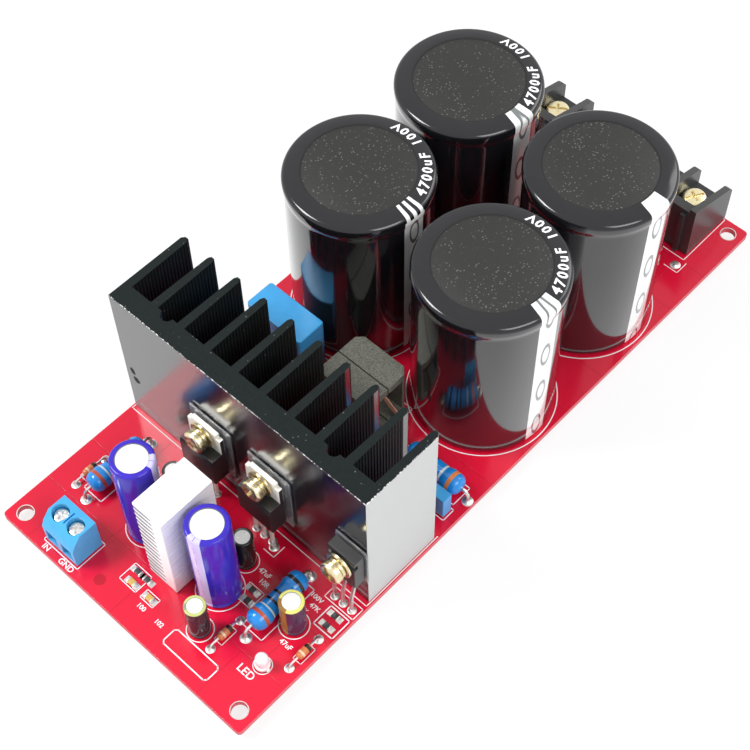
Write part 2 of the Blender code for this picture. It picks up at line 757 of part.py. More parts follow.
def electrolytic_capacitors():
    for number, (x, y) in enumerate(SLIM_PLACES, 1):
        place = (along_x(x), along_y(y))
        name = "slim_capacitor_%d" % number
        round_capacitor(name, *place, SLIM_DIAMETER, SLIM_HEIGHT, SLIM_PIN_SPACING, VIOLET, 16)
    for name, (x, y, diameter, height) in SMALL_CANS.items():
        place = (along_x(x), along_y(y))
        round_capacitor(name, *place, diameter, height, SMALL_CAN_PINS, DARK_SLEEVE, 10)


def axial_part(name, place, axis, profile, sides, pitch, lift, radius, material):
    """A body lying along an axis, with its leads bent down into the board."""
    x, y = along_x(place[0]), along_y(place[1])
    z = BOARD_TOP + lift
    body = add_object(name, turned(profile, (x, y, z), sides, axis), material)
    direction = Vector((1, 0, 0)) if axis == "X" else Vector((0, 1, 0))
    centre = Vector((x, y, z))
    inner = profile[-1][1]
    bend = radius * 2
    leads = []
    for side in (-1, 1):
        end = centre + direction * side * pitch / 2
        path = [
            centre + direction * side * (inner - EMBED),
            end - direction * side * bend,
            end - Vector((0, 0, bend)),
        ]
        leads.append(lead(path, radius))
    join(body, merged(leads), "leads")
    smooth(body)


def resistors():
    big, waist, half = RESISTOR_DIAMETER / 2, RESISTOR_WAIST / 2, RESISTOR_LENGTH / 2
    cap = RESISTOR_LENGTH * 0.30
    profile = [
        (0, -half),
        (big * 0.45, -half),
        (big * 0.88, -half + big * 0.25),
        (big, -half + big * 0.65),
        (big, -half + cap - RESISTOR_STEP),
        (waist, -half + cap),
        (waist, half - cap),
        (big, half - cap + RESISTOR_STEP),
        (big, half - big * 0.65),
        (big * 0.88, half - big * 0.25),
        (big * 0.45, half),
        (0, half),
    ]
    for name, (x, y, axis) in RESISTORS.items():
        axial_part(
            name, (x, y), axis, profile, 12, RESISTOR_PITCH, RESISTOR_LIFT, LEAD_RADIUS, BLUE_LACQUER
        )


def diodes():
    radius, half = DIODE_DIAMETER / 2, DIODE_LENGTH / 2
    lift = radius + SEAT_GAP
    profile = [
        (0, -half),
        (radius * 0.6, -half),
        (radius, -half + radius * 0.5),
        (radius, half - radius * 0.5),
        (radius * 0.6, half),
        (0, half),
    ]
    for name, place in DIODES.items():
        axial_part(name, place, "Y", profile, 8, DIODE_PITCH, lift, FINE_LEAD_RADIUS, GLASS)


def indicator():
    x, y = along_x(LED_PLACE[0]), along_y(LED_PLACE[1])
    radius, top = LED_RADIUS, SEAT + LED_HEIGHT
    flange = SEAT + LED_FLANGE
    profile = [(0, SEAT), (radius * 1.2, SEAT), (radius * 1.2, flange), (radius, flange)]
    for step in range(4):
        angle = math.radians(30 * step)
        profile.append((radius * math.cos(angle), top - radius + radius * math.sin(angle)))
    profile[-1] = (0, top)
    lamp = add_object("indicator_led", turned(profile, (x, y, 0), 10), CLEAR_RESIN)
    leads = []
    for side in (-1, 1):
        leads.append(lead([(x + side * LEAD_PITCH / 2, y, SEAT + EMBED)], FINE_LEAD_RADIUS, 4))
    join(lamp, merged(leads), "leads")
    smooth(lamp)


def input_terminal():
    width = INPUT_PITCH + 2 * INPUT_SIDE
    left, front = along_x(INPUT_LEFT), along_y(INPUT_FRONT)
    back = front + INPUT_DEPTH
    low, top = SEAT, SEAT + INPUT_HEIGHT
    shoulder = INPUT_DEPTH * 0.38
    outline = [
        (front, low),
        (front, low + INPUT_HEIGHT * 0.60),
        (front + shoulder * 0.30, low + INPUT_HEIGHT * 0.78),
        (front + shoulder, top),
        (back, top),
        (back, low),
    ]
    housing = add_object(
        "input_terminal_housing", prism(outline, left, left + width, "X"), BLUE_MOULDING
    )
    travel_room = INPUT_CAGE_HEIGHT + INPUT_CAGE_TRAVEL + 2 * GAP
    pocket_half = INPUT_CAGE_WIDTH / 2 + GAP
    pocket_back = back - INPUT_WALL
    pocket_front = front + INPUT_WALL * 1.6
    screw_y = (pocket_front + pocket_back) / 2
    floor = low + INPUT_FLOOR
    cutters = []
    for number in (1, 2):
        x = left + INPUT_SIDE + INPUT_PITCH * (number - 1)
        cutters.append(
            box(
                (x - pocket_half, pocket_front, floor),
                (x + pocket_half, pocket_back, floor + travel_room),
            )
        )
        entry = pocket_half - GAP
        high = floor + travel_room * 0.62
        cutters.append(box((x - entry, front - GAP, floor + INPUT_SILL), (x + entry, screw_y, high)))
        radius = INPUT_SCREW_RADIUS + GAP
        cutters.append(rod(radius, floor + travel_room - GAP, top + GAP, (x, screw_y, 0), 14))
        cutters.append(
            box(
                (x - INPUT_PIN_SLOT, pocket_back - 1.6 * INPUT_PIN_SLOT, low - GAP),
                (x + INPUT_PIN_SLOT, pocket_back - 0.1 * INPUT_PIN_SLOT, floor + GAP),
            )
        )
    for index, shape in enumerate(cutters):
        cut(housing, shape, "pocket_%d" % index)
    for number in (1, 2):
        x = left + INPUT_SIDE + INPUT_PITCH * (number - 1)
        input_way(number, x, screw_y, floor, pocket_front, pocket_back, travel_room)


def input_way(number, x, screw_y, floor, pocket_front, pocket_back, travel_room):
    """The moving screw and cage of one way, and its fixed contact."""
    cage_low = floor + GAP
    cage_half = INPUT_CAGE_WIDTH / 2
    cage_front, cage_back = pocket_front + GAP, pocket_back - INPUT_CAGE_SETBACK
    wall = INPUT_CAGE_WALL
    cage = add_object(
        "input_cage_%d" % number,
        box((-cage_half, cage_front - screw_y, 0), (cage_half, cage_back - screw_y, INPUT_CAGE_HEIGHT)),
        NICKEL,
    )
    cage.location = (x, screw_y, cage_low)
    window = box(
        (-cage_half + wall, cage_front - screw_y - GAP, wall),
        (cage_half - wall, cage_back - screw_y + GAP, INPUT_CAGE_HEIGHT - 2 * wall),
    )
    cut(cage, window, "window")
    bore_low, bore_high = INPUT_CAGE_HEIGHT - 3 * wall, INPUT_CAGE_HEIGHT + GAP
    bore = rod(INPUT_SCREW_SHANK + GAP, bore_low, bore_high, (0, 0, 0), 12)
    cut(cage, bore, "bore")
    head_top = SEAT + INPUT_HEIGHT - INPUT_SCREW_DEPTH
    head_low = floor + travel_room + GAP
    shank_low = cage_low + INPUT_CAGE_HEIGHT - 2 * wall
    profile = [
        (0, shank_low - head_top),
        (INPUT_SCREW_SHANK, shank_low - head_top),
        (INPUT_SCREW_SHANK, head_low - head_top),
        (INPUT_SCREW_RADIUS, head_low - head_top),
        (INPUT_SCREW_RADIUS, 0),
        (0, 0),
    ]
    screw = add_object("input_screw_%d" % number, turned(profile, (0, 0, 0), 14), ZINC)
    screw.location = (x, screw_y, head_top)
    reach, half_slot = INPUT_SCREW_RADIUS * 1.2, INPUT_SLOT / 2
    cut(screw, box((-reach, -half_slot, -INPUT_SLOT), (reach, half_slot, GAP)), "slot")
    smooth(screw)
    strip = INPUT_STRIP
    strip_y = pocket_back - 2 * strip
    tongue_top = shank_low - GAP
    tongue_low = tongue_top - INPUT_TONGUE
    outline = [
        (strip_y + strip, floor - GAP),
        (strip_y + strip, tongue_top),
        (cage_front + EMBED, tongue_top),
        (cage_front + EMBED, tongue_low),
        (strip_y - strip, tongue_low),
        (strip_y - strip, floor - GAP),
    ]
    half = cage_half - wall - GAP
    contact = add_object(
        "input_contact_%d" % number, prism(outline, x - half, x + half, "X"), NICKEL
    )
    join(contact, lead([(x, strip_y, floor + GAP)], INPUT_PIN_RADIUS, 4), "pin")


def barrier_terminals():
    for block, place_x in enumerate(BARRIER_LEFTS):
        side = ("left", "right")[block]
        width = 2 * BARRIER_PITCH + BARRIER_DIVIDER
        left, rear = along_x(place_x), along_y(BARRIER_REAR)
        front = rear + BARRIER_DEPTH
        low = SEAT
        body = [
            (rear, low),
            (rear, low + BARRIER_REAR_HEIGHT),
            (rear + BARRIER_REAR_WALL, low + BARRIER_REAR_HEIGHT),
            (rear + BARRIER_REAR_WALL, low + BARRIER_FLOOR),
            (front - GAP, low + BARRIER_FLOOR),
            (front - GAP, low),
        ]
        wall = [
            (rear, low),
            (rear, low + BARRIER_DIVIDER_REAR),
            (front - BARRIER_LIP, low + BARRIER_DIVIDER_FRONT),
            (front, low + BARRIER_DIVIDER_FRONT - BARRIER_LIP),
            (front, low),
        ]
        name = "barrier_housing_" + side
        housing = add_object(name, prism(body, left + GAP, left + width - GAP, "X"), BLACK_MOULDING)
        walls = []
        for index in range(3):
            start = left + BARRIER_PITCH * index
            walls.append(prism(wall, start, start + BARRIER_DIVIDER, "X"))
        join(housing, merged(walls), "dividers")
        ribs = []
        for index in range(2):
            start = left + BARRIER_PITCH * (index + 1) - BARRIER_RIB_OFFSET
            end = (start + BARRIER_RIB_WIDTH, rear + EMBED, low + BARRIER_REAR_HEIGHT - BARRIER_LIP)
            ribs.append(box((start, rear - BARRIER_RIB, low), end))
        join(housing, merged(ribs), "ribs")
        shafts = []
        for index in range(2):
            x = left + BARRIER_DIVIDER / 2 + BARRIER_PITCH * (index + 0.5)
            y = rear + CLAMP_SCREW_SETBACK
            depth = low + BARRIER_FLOOR - CLAMP_SHANK_LENGTH
            shafts.append(
                rod(CLAMP_SHANK + GAP, depth, low + BARRIER_FLOOR + GAP, (x, y, 0), 12)
            )
            shafts.append(barrier_slot(x, rear, low))
            barrier_way(side, index + 1, x, y, rear, low)
        cut(housing, merged(shafts), "shafts")


def barrier_slot(x, rear, low):
    """The slot that takes one contact's leg down to the board."""
    leg_y = rear + BARRIER_REAR_WALL + CONTACT_LEG_SETBACK
    reach = CONTACT_LEG_RADIUS + GAP
    return box(
        (x - reach, leg_y - reach, low - GAP), (x + reach, leg_y + reach, low + BARRIER_FLOOR + GAP)
    )


def barrier_way(side, way, x, y, rear, low):
    """One contact plate with its leg, and the clamping screw with its square washer."""
    floor = low + BARRIER_FLOOR + GAP
    plate_half = (BARRIER_PITCH - BARRIER_DIVIDER) / 2 - GAP
    start = rear + BARRIER_REAR_WALL + GAP
    plate_top = floor + PLATE_THICKNESS
    label = "%s_%d" % (side, way)
    plate = add_object(
        "barrier_contact_" + label,
        box((x - plate_half, start, floor), (x + plate_half, start + PLATE_LENGTH, plate_top)),
        NICKEL,
    )
    leg_y = rear + BARRIER_REAR_WALL + CONTACT_LEG_SETBACK
    leg_top = plate_top - PLATE_THICKNESS / 2
    join(plate, lead([(x, leg_y, leg_top)], CONTACT_LEG_RADIUS, 4), "leg")
    bore = rod(CLAMP_SHANK + GAP, floor - GAP, plate_top + GAP, (x, y, 0), 12)
    cut(plate, bore, "bore")
    washer_low = plate_top + GAP
    half, thick = CLAMP_WASHER / 2, CLAMP_WASHER_THICKNESS
    square = box((x - half, y - half, washer_low), (x + half, y + half, washer_low + thick))
    washer = add_object("barrier_washer_" + label, square, ZINC)
    eye = rod(CLAMP_SHANK + GAP, washer_low - GAP, washer_low + thick + GAP, (x, y, 0), 12)
    cut(washer, eye, "eye")
    seat = washer_low + thick + GAP
    tip = low + BARRIER_FLOOR - CLAMP_SHANK_LENGTH + GAP
    head = [
        (0, tip - seat),
        (CLAMP_SHANK, tip - seat),
        (CLAMP_SHANK, 0),
        (CLAMP_HEAD_RADIUS, 0),
        (CLAMP_HEAD_RADIUS, CLAMP_HEAD_HEIGHT * 0.55),
        (CLAMP_HEAD_RADIUS * 0.7, CLAMP_HEAD_HEIGHT),
        (0, CLAMP_HEAD_HEIGHT),
    ]
    screw = add_object("barrier_screw_" + label, turned(head, (0, 0, 0), 14), ZINC)
    screw.location = (x, y, seat)
    slot_low = (-CLAMP_HEAD_RADIUS, -CLAMP_SLOT / 2, CLAMP_HEAD_HEIGHT - CLAMP_SLOT)
    slot_high = (CLAMP_HEAD_RADIUS, CLAMP_SLOT / 2, CLAMP_HEAD_HEIGHT + GAP)
    cut(screw, box(slot_low, slot_high), "slot")
    smooth(screw)


def film_capacitors():
    for name, (left, front, width, depth, height, pitch) in FILM_CAPS.items():
        x, y = along_x(left), along_y(front)
        shape = box((x, y, SEAT), (x + width, y + depth, SEAT + height))
        edges = [edge for edge in shape.edges if abs(edge.verts[0].co.z - edge.verts[1].co.z) > GAP]
        bmesh.ops.bevel(shape, geom=edges, offset=depth * 0.06, segments=1, affect="EDGES")
        case = add_object(name, shape, BLUE_CASE)
        middle = (x + width / 2, y + depth / 2)
        leads = []
        for side in (-1, 1):
            leads.append(lead([(middle[0] + side * pitch / 2, middle[1], SEAT + EMBED)]))
        join(case, merged(leads), "leads")


def inductor():
    left, front = along_x(CORE_LEFT), along_y(SINK_BACK + CORE_SINK_CLEARANCE)
    right, back = left + CORE_WIDTH, front + CORE_DEPTH
    x, seam = (left + right) / 2, (front + back) / 2
    low, top = SEAT, SEAT + CORE_HEIGHT
    corner = CORE_CORNER
    middle_z = (low + top) / 2
    for half, outer in (("front", front), ("back", back)):
        sign = 1 if outer < seam else -1
        inner = seam - sign * GAP / 2
        outline = [
            (left, inner),
            (left, outer + sign * corner),
            (left + corner, outer),
            (right - corner, outer),
            (right, outer + sign * corner),
            (right, inner),
        ]
        core = add_object("core_" + half, prism(outline, low, top), FERRITE)
        wall_y = outer + sign * CORE_WALL
        low_y, high_y = sorted((wall_y, inner + sign * GAP))
        room = box((left - GAP, low_y, low + CORE_WALL), (right + GAP, high_y, top - CORE_WALL))
        cut(core, room, "window")
        low_y, high_y = sorted((wall_y - sign * EMBED, inner))
        post = rod(CORE_POST_RADIUS, low_y - seam, high_y - seam, (x, seam, middle_z), 12, "Y")
        join(core, post, "post")
    centre = (x, seam, middle_z)
    length = CORE_DEPTH / 2 - CORE_WALL - GAP
    bore = CORE_POST_RADIUS + GAP
    barrel = bore + FORMER_WALL
    flange = CORE_HEIGHT / 2 - CORE_WALL - GAP
    spool = [
        (bore, -length),
        (flange, -length),
        (flange, -length + FORMER_WALL),
        (barrel, -length + FORMER_WALL),
        (barrel, length - FORMER_WALL),
        (flange, length - FORMER_WALL),
        (flange, length),
        (bore, length),
    ]
    former = add_object("inductor_former", ring(spool, centre, 16), BLACK_MOULDING)
    smooth(former)
    span = length - FORMER_WALL - GAP
    inner = barrel + GAP
    turns = [(inner, -span), (COIL_RADIUS, -span), (COIL_RADIUS, span), (inner, span)]
    coil = add_object("inductor_winding", ring(turns, centre, 16), COPPER)
    wires = []
    for sign in (-1, 1):
        start = (x + sign * COIL_RADIUS * 0.9, seam + sign * span / 2, middle_z)
        out = (x + sign * (CORE_WIDTH / 2 + COIL_LEAD_CLEARANCE), start[1], middle_z - COIL_DROP)
        wires.append(lead([start, out], COIL_WIRE_RADIUS))
    join(coil, merged(wires), "wires")
    smooth(coil)


def ring(profile, centre, sides):
    """Turns a closed profile about a Y axis, leaving its bore open."""
    shape = bmesh.new()
    rings = []
    for index in range(sides):
        angle = 2 * math.pi * (index + 0.5) / sides
        loop = []
        for radius, along in profile:
            point = (
                centre[0] + radius * math.cos(angle),
                centre[1] + along,
                centre[2] + radius * math.sin(angle),
            )
            loop.append(shape.verts.new(point))
        rings.append(loop)
    count = len(profile)
    for index in range(sides):
        here, there = rings[index], rings[(index + 1) % sides]
        for step in range(count):
            after = (step + 1) % count
            shape.faces.new((here[step], here[after], there[after], there[step]))
    return shape


def chip_parts():
    """The surface-mount chips, which are soldered flat on the board and are one solid with it."""
    shapes = []
    for x, y, length, width, height in CHIP_PARTS:
        middle = (along_x(x), along_y(y))
        low = (middle[0] - length / 2, middle[1] - width / 2, BOARD_TOP - EMBED)
        high = (middle[0] + length / 2, middle[1] + width / 2, BOARD_TOP + height)
        shapes.append(box(low, high))
    return merged(shapes)


def driver_chip():
    """The driver under the board, with its bent legs."""
    x, y = along_x(DRIVER_CENTRE[0]), along_y(DRIVER_CENTRE[1])
    length, width, height = DRIVER_SIZE
    top = STUB - GAP
    chip = add_object(
        "driver_chip",
        box((x - length / 2, y - width / 2, top - height), (x + length / 2, y + width / 2, top - GAP)),
        BLACK_MOULDING,
    )
    legs = []
    for side in (-1, 1):
        for index in range(DRIVER_LEG_COUNT):
            leg_x = x + DRIVER_LEG_PITCH * (index - (DRIVER_LEG_COUNT - 1) / 2)
            inner = y + side * (width / 2 - EMBED / 2)
            outer = y + side * (width / 2 + DRIVER_LEG)
            low_y, high_y = sorted((inner, outer))
            low_z = top - height / 2
            low = (leg_x - DRIVER_LEG_HALF_WIDTH, low_y, low_z)
            high = (leg_x + DRIVER_LEG_HALF_WIDTH, high_y, low_z + DRIVER_LEG_THICKNESS)
            legs.append(box(low, high))
    join(chip, merged(legs), "legs")


clear_scene()
RED_MASK = make_material("red_solder_mask", (0.80, 0.02, 0.06), 0.35)
BLACK_SLEEVE = make_material("black_sleeve", (0.02, 0.02, 0.025), 0.30)
BLACK_ANODISED = make_material("black_anodised", (0.03, 0.03, 0.03), 0.25, 0.8)
BLACK_MOULDING = make_material("black_moulding", (0.03, 0.03, 0.03), 0.55)
PAD_FILM = make_material("insulating_film", (0.70, 0.70, 0.70), 0.30)
ZINC = make_material("zinc_plated_steel", (0.75, 0.72, 0.60), 0.30, 1.0)
NICKEL = make_material("tinned_brass", (0.75, 0.75, 0.73), 0.30, 1.0)
SILVER = make_material("bare_aluminium", (0.85, 0.85, 0.87), 0.30, 1.0)
VIOLET = make_material("violet_sleeve", (0.06, 0.03, 0.50), 0.30)
DARK_SLEEVE = make_material("dark_sleeve", (0.05, 0.04, 0.05), 0.35)
BLUE_LACQUER = make_material("blue_lacquer", (0.02, 0.25, 0.75), 0.30)
GLASS = make_material("diode_glass", (0.80, 0.45, 0.25), 0.10)
CLEAR_RESIN = make_material("clear_resin", (0.85, 0.85, 0.85), 0.10)
BLUE_MOULDING = make_material("blue_moulding", (0.10, 0.45, 0.85), 0.40)
BLUE_CASE = make_material("blue_case", (0.03, 0.25, 0.75), 0.40)
FERRITE = make_material("ferrite", (0.12, 0.13, 0.11), 0.60)
COPPER = make_material("enamelled_copper", (0.65, 0.25, 0.10), 0.35, 0.8)

main_heatsink()
filter_capacitors()
power_transistors()
small_transistor()
insulating_pads()
fixing_screws()
comb_heatsink()
electrolytic_capacitors()
resistors()
diodes()
indicator()
input_terminal()
barrier_terminals()
film_capacitors()
inductor()
driver_chip()
circuit_board()
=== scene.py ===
"""Looks of the audio amplifier board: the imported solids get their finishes, and the round,
moulded and printed pieces are modelled around them.

Sizes are in millimetres from the board's front left corner, as on a drawing of the board:
X along the short front edge, Y along the long edge, Z up from the surface that it stands on.
Each finished piece is brought into the frame, in metres, once.
"""

import math

import bpy
import bmesh
from mathutils import Matrix, Vector


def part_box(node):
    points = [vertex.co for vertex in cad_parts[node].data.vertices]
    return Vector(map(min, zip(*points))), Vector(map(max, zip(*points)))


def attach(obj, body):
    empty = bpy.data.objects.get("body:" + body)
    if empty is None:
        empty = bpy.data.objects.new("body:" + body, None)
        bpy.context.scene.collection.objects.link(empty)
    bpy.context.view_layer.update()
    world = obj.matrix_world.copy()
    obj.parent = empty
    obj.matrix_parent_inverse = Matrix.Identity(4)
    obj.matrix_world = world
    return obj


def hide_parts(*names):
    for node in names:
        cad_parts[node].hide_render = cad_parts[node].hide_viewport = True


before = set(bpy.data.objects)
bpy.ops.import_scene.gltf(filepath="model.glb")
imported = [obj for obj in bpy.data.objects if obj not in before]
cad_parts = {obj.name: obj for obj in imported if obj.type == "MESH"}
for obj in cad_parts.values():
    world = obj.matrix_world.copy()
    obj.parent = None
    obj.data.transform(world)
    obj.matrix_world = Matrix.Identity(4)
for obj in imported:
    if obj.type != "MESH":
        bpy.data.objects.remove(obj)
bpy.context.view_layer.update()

# The board: size, upper side, underside of the parts on it, thickness and line width of the
# print, mounting holes' distance from the edges, and a hole that the mask covers
WIDTH, LENGTH = 77.0, 181.0
TOP, SEAT = 3.6, 3.9
PRINT, LINE = 0.02, 0.22
HOLE_INSET = 3.7
COVERED_HOLE, COVERED_RADIUS = (28.8, 4.0), 1.4
INTO_FRAME = Matrix.Translation((-WIDTH / 2000, -LENGTH / 2000, 0)) @ Matrix.Scale(0.001, 4)

# Filter capacitors: size and disc of the lid, the rim's rounding and its slope in degrees
CAN_RADIUS, CAN_TOP, CAN_DISC = 17.5, SEAT + 49.5, 13.2
RIM_ROUND, RIM_SLOPE = 1.3, 9.6
CAN_PLACES = {
    "filter_capacitor_front_left": (19.55, 98.9),
    "filter_capacitor_front_right": (58.25, 98.9),
    "filter_capacitor_rear_left": (19.55, 135.9),
    "filter_capacitor_rear_right": (58.25, 135.9),
}

# Slim and small capacitors: middle, radius and height
SLIM_PLACES = {"slim_capacitor_1": (27.1, 20.6), "slim_capacitor_2": (50.0, 20.6)}
SLIM_RADIUS, SLIM_HEIGHT = 5.0, 29.8
SMALL_CANS = {
    "small_capacitor_left": (53.8, 10.9, 2.5, 11.6),
    "small_capacitor_right": (68.0, 25.5, 2.9, 11.4),
    "small_capacitor_centre": (49.4, 29.2, 2.4, 11.3),
    "small_capacitor_rear": (26.2, 30.3, 2.5, 11.6),
}

# Resistors and diodes: middle, direction, half a body's length, and the reach of the leads
RESISTORS = {
    "resistor_left": (11.3, 25.4, "Y"),
    "resistor_middle": (62.6, 26.2, "Y"),
    "resistor_right": (65.6, 74.0, "X"),
}
RESISTOR_HALF, RESISTOR_REACH = 8.0, 10.0
DIODES = {"diode_left": (6.6, 20.9), "diode_middle": (58.8, 13.7), "diode_right": (74.4, 22.1)}
DIODE_RADIUS, DIODE_HALF, DIODE_REACH = 0.95, 1.95, 4.5
INDICATOR = (69.7, 14.2)

# Heatsink: faces, range inside its outer sides, ribs on its fins, and first smooth fin tip
SINK_FRONT, SINK_RIGHT, SINK_TOP = 40.3, 76.4, 47.5
SINK_INSIDE = (1.4, 75.6)
RIBS_FROM, RIBS_TO, RIB_PITCH = 45.4, 60.4, 0.9
SMOOTH_TIPS_FROM = 45.0

# Dark stains on the heatsink's face: place across, height, half width and half height
STAINS = ((3.0, 20.6, 0.9, 1.4), (3.8, 17.6, 1.1, 1.3), (70.6, 26.2, 0.6, 1.0))

# Transistors: foot and shelf of the black packages, then place and radius of the middle leads
PACKAGE_FOOT, PACKAGE_SHELF, DRIVER_FOOT = 12.85, 22.25, 15.95
TRANSISTOR_LEADS = ((29.7, 36.7, 0.5), (47.7, 36.7, 0.5), (72.4, 36.45, 0.45))
LEAD_PITCH = 2.54

# Their screws: place across and height, thickness of what is held, and turn of the slots
FIXINGS = ((29.7, 25.7, 1.3, 20.0), (47.7, 25.7, 1.3, 65.0), (72.4, 23.0, 2.9, 110.0))
PAD_WITH_GAPS = 1.0

# Barrier terminals: left sides, divider, pitch of the ways, line of the screws, and their slots
BARRIER_LEFTS = {"left": 14.3, "right": 48.8}
BARRIER_DIVIDER, BARRIER_PITCH = 1.8, 9.5
BARRIER_SCREWS_Y = 164.4 + 8.3
BARRIER_TURNS = {"left_1": 35.0, "left_2": 80.0, "right_1": 20.0, "right_2": 60.0}


# Pieces, modelled in board millimetres


def start():
    if bpy.context.mode != "OBJECT":
        bpy.ops.object.mode_set(mode="OBJECT")
    bpy.ops.object.select_all(action="DESELECT")


def only(*objects):
    start()
    for obj in objects:
        obj.select_set(True)
    bpy.context.view_layer.objects.active = objects[-1]


def edit(obj, mode="FACE"):
    only(obj)
    bpy.ops.object.mode_set(mode="EDIT")
    bpy.ops.mesh.select_mode(type=mode)
    bpy.ops.mesh.select_all(action="SELECT")


def leave():
    bpy.ops.object.mode_set(mode="OBJECT")
    return bpy.context.object


def outward():
    bpy.ops.mesh.select_all(action="SELECT")
    bpy.ops.mesh.normals_make_consistent(inside=False)


def raised(height):
    bpy.ops.mesh.extrude_region_move(TRANSFORM_OT_translate={"value": (0, 0, height)})


def resized(share, height=0.0):
    bpy.ops.transform.resize(value=(share, share, 1), center_override=(0, 0, height))


def applied(obj):
    only(obj)
    bpy.ops.object.transform_apply(location=True, rotation=True, scale=True)
    return obj


def placed(obj, middle, axis="Z"):
    """Turns a piece that stands on Z to lie along X or Y, and moves it to its place."""
    obj.rotation_euler = {
        "Z": (0, 0, 0),
        "Y": (-math.pi / 2, 0, 0),
        "-Y": (math.pi / 2, 0, 0),
        "X": (0, math.pi / 2, 0),
    }[axis]
    obj.location = middle
    return applied(obj)


def turned(profile, middle=(0, 0, 0), sides=48, axis="Z"):
    """A disc whose face is drawn up and resized through the (radius, height) points."""
    start()
    radius, height = profile[0]
    bpy.ops.mesh.primitive_circle_add(
        vertices=sides, radius=radius, fill_type="NGON", location=(0, 0, height)
    )
    obj = applied(bpy.context.object)
    edit(obj)
    for next_radius, next_height in profile[1:]:
        raised(next_height - height)
        resized(next_radius / radius, next_height)
        radius, height = next_radius, next_height
    outward()
    return placed(leave(), middle, axis)


def flat_ring(middle, inner, outer, thickness, sides):
    """A thin ring, spun from a narrow strip across its width."""
    strip = 0.001
    start()
    bpy.ops.mesh.primitive_plane_add(size=1, location=((inner + outer) / 2, 0, 0))
    obj = bpy.context.object
    obj.scale = (outer - inner, strip, 1)
    obj = applied(obj)
    edit(obj, "EDGE")
    pick_edges(obj, lambda middle, edge: middle.y > strip * 0.4)
    bpy.ops.mesh.spin(steps=sides, angle=2 * math.pi, center=(0, 0, 0), axis=(0, 0, 1))
    bpy.ops.mesh.select_all(action="SELECT")
    bpy.ops.mesh.remove_doubles(threshold=strip * 1.5)
    raised(thickness)
    outward()
    return placed(leave(), middle)


def block(low, high, rounding=0.0, segments=2):
    start()
    middle = [(a + b) / 2 for a, b in zip(low, high)]
    bpy.ops.mesh.primitive_cube_add(size=1, location=middle)
    obj = bpy.context.object
    obj.scale = [b - a for a, b in zip(low, high)]
    obj = applied(obj)
    if rounding:
        edit(obj, "EDGE")
        bpy.ops.mesh.bevel(offset=rounding, segments=segments, affect="EDGES")
        leave()
    return obj


def pick_edges(obj, test):
    """Selects the edges that pass a test of their middle. The piece is in edit mode."""
    bpy.ops.mesh.select_mode(type="EDGE")
    bpy.ops.mesh.select_all(action="DESELECT")
    mesh = bmesh.from_edit_mesh(obj.data)
    for edge in mesh.edges:
        if test((edge.verts[0].co + edge.verts[1].co) / 2, edge):
            edge.select_set(True)
    bmesh.update_edit_mesh(obj.data)


def sharp(edge):
    return len(edge.link_faces) == 2 and edge.calc_face_angle() > math.radians(35)


def rounded(obj, width, test=lambda middle: True, segments=2):
    """Rounds the sharp edges that pass the test."""
    edit(obj, "EDGE")
    pick_edges(obj, lambda middle, edge: sharp(edge) and test(middle))
    bpy.ops.mesh.bevel(offset=width, segments=segments, affect="EDGES", clamp_overlap=True)
    return leave()


def linked(name, data):
    obj = bpy.data.objects.new(name, data)
    bpy.context.scene.collection.objects.link(obj)
    return obj


def solid_copy(node):
    """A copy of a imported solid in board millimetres, with its points merged."""
    obj = linked(node + "_copy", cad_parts[node].data.copy())
    obj.data.materials.clear()
    obj.data.transform(INTO_FRAME.inverted())
    edit(obj)
    bpy.ops.mesh.customdata_custom_splitnormals_clear()
    bpy.ops.mesh.remove_doubles(threshold=0.002)
    bpy.ops.mesh.dissolve_limited(angle_limit=math.radians(1))
    return leave()


def kept_side(node, point, normal):
    """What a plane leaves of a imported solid, on the side that the normal points to."""
    obj = solid_copy(node)
    edit(obj)
    bpy.ops.mesh.bisect(
        plane_co=point, plane_no=normal, use_fill=True, clear_inner=True, clear_outer=False
    )
    outward()
    return leave()


def joined(objects):
    only(*objects)
    if len(objects) > 1:
        bpy.ops.object.join()
    return bpy.context.object


def lettering(text, size, thickness, weight, fineness):
    """A word as a mesh, centred on the origin, with its strokes made thicker by a weight."""
    start()
    bpy.ops.object.text_add()
    curve = bpy.context.object.data
    curve.body = text
    curve.size = size
    curve.align_x = "CENTER"
    curve.align_y = "CENTER"
    curve.extrude = thickness / 2
    curve.offset = weight
    curve.resolution_u = fineness
    bpy.ops.object.convert(target="MESH")
    return bpy.context.object


def carved(obj, *cutters):
    for cutter in cutters:
        modifier = obj.modifiers.new("cut", "BOOLEAN")
        modifier.operation = "DIFFERENCE"
        modifier.solver = "EXACT"
        modifier.object = cutter
        only(obj)
        bpy.ops.object.modifier_apply(modifier="cut")
        bpy.data.objects.remove(cutter)
    return obj


def painted(obj, chooser, *materials):
    """Gives each face the material that its middle calls for."""
    obj.data.materials.clear()
    for material in materials:
        obj.data.materials.append(material)
    for face in obj.data.polygons:
        face.material_index = chooser(face.center)
    return obj


def done(obj, name, body, material=None, nodes=(), smooth=35, flat=False):
    """Brings a finished piece into the frame and puts it on its body.

    Flat asks for normals that follow the large faces, so that they mirror as flat ones do.
    """
    obj.name = name
    obj.data.name = name
    if material:
        obj.data.materials.clear()
        obj.data.materials.append(material)
    obj.data.transform(INTO_FRAME)
    obj.matrix_world = Matrix.Identity(4)
    only(obj)
    if smooth:
        bpy.ops.object.shade_smooth_by_angle(angle=math.radians(smooth))
    if flat:
        modifier = obj.modifiers.new("even", "WEIGHTED_NORMAL")
        modifier.keep_sharp = True
        modifier.weight = 100
        bpy.ops.object.modifier_apply(modifier="even")
    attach(obj, body)
    if nodes:
        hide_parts(*nodes)


# Finishes


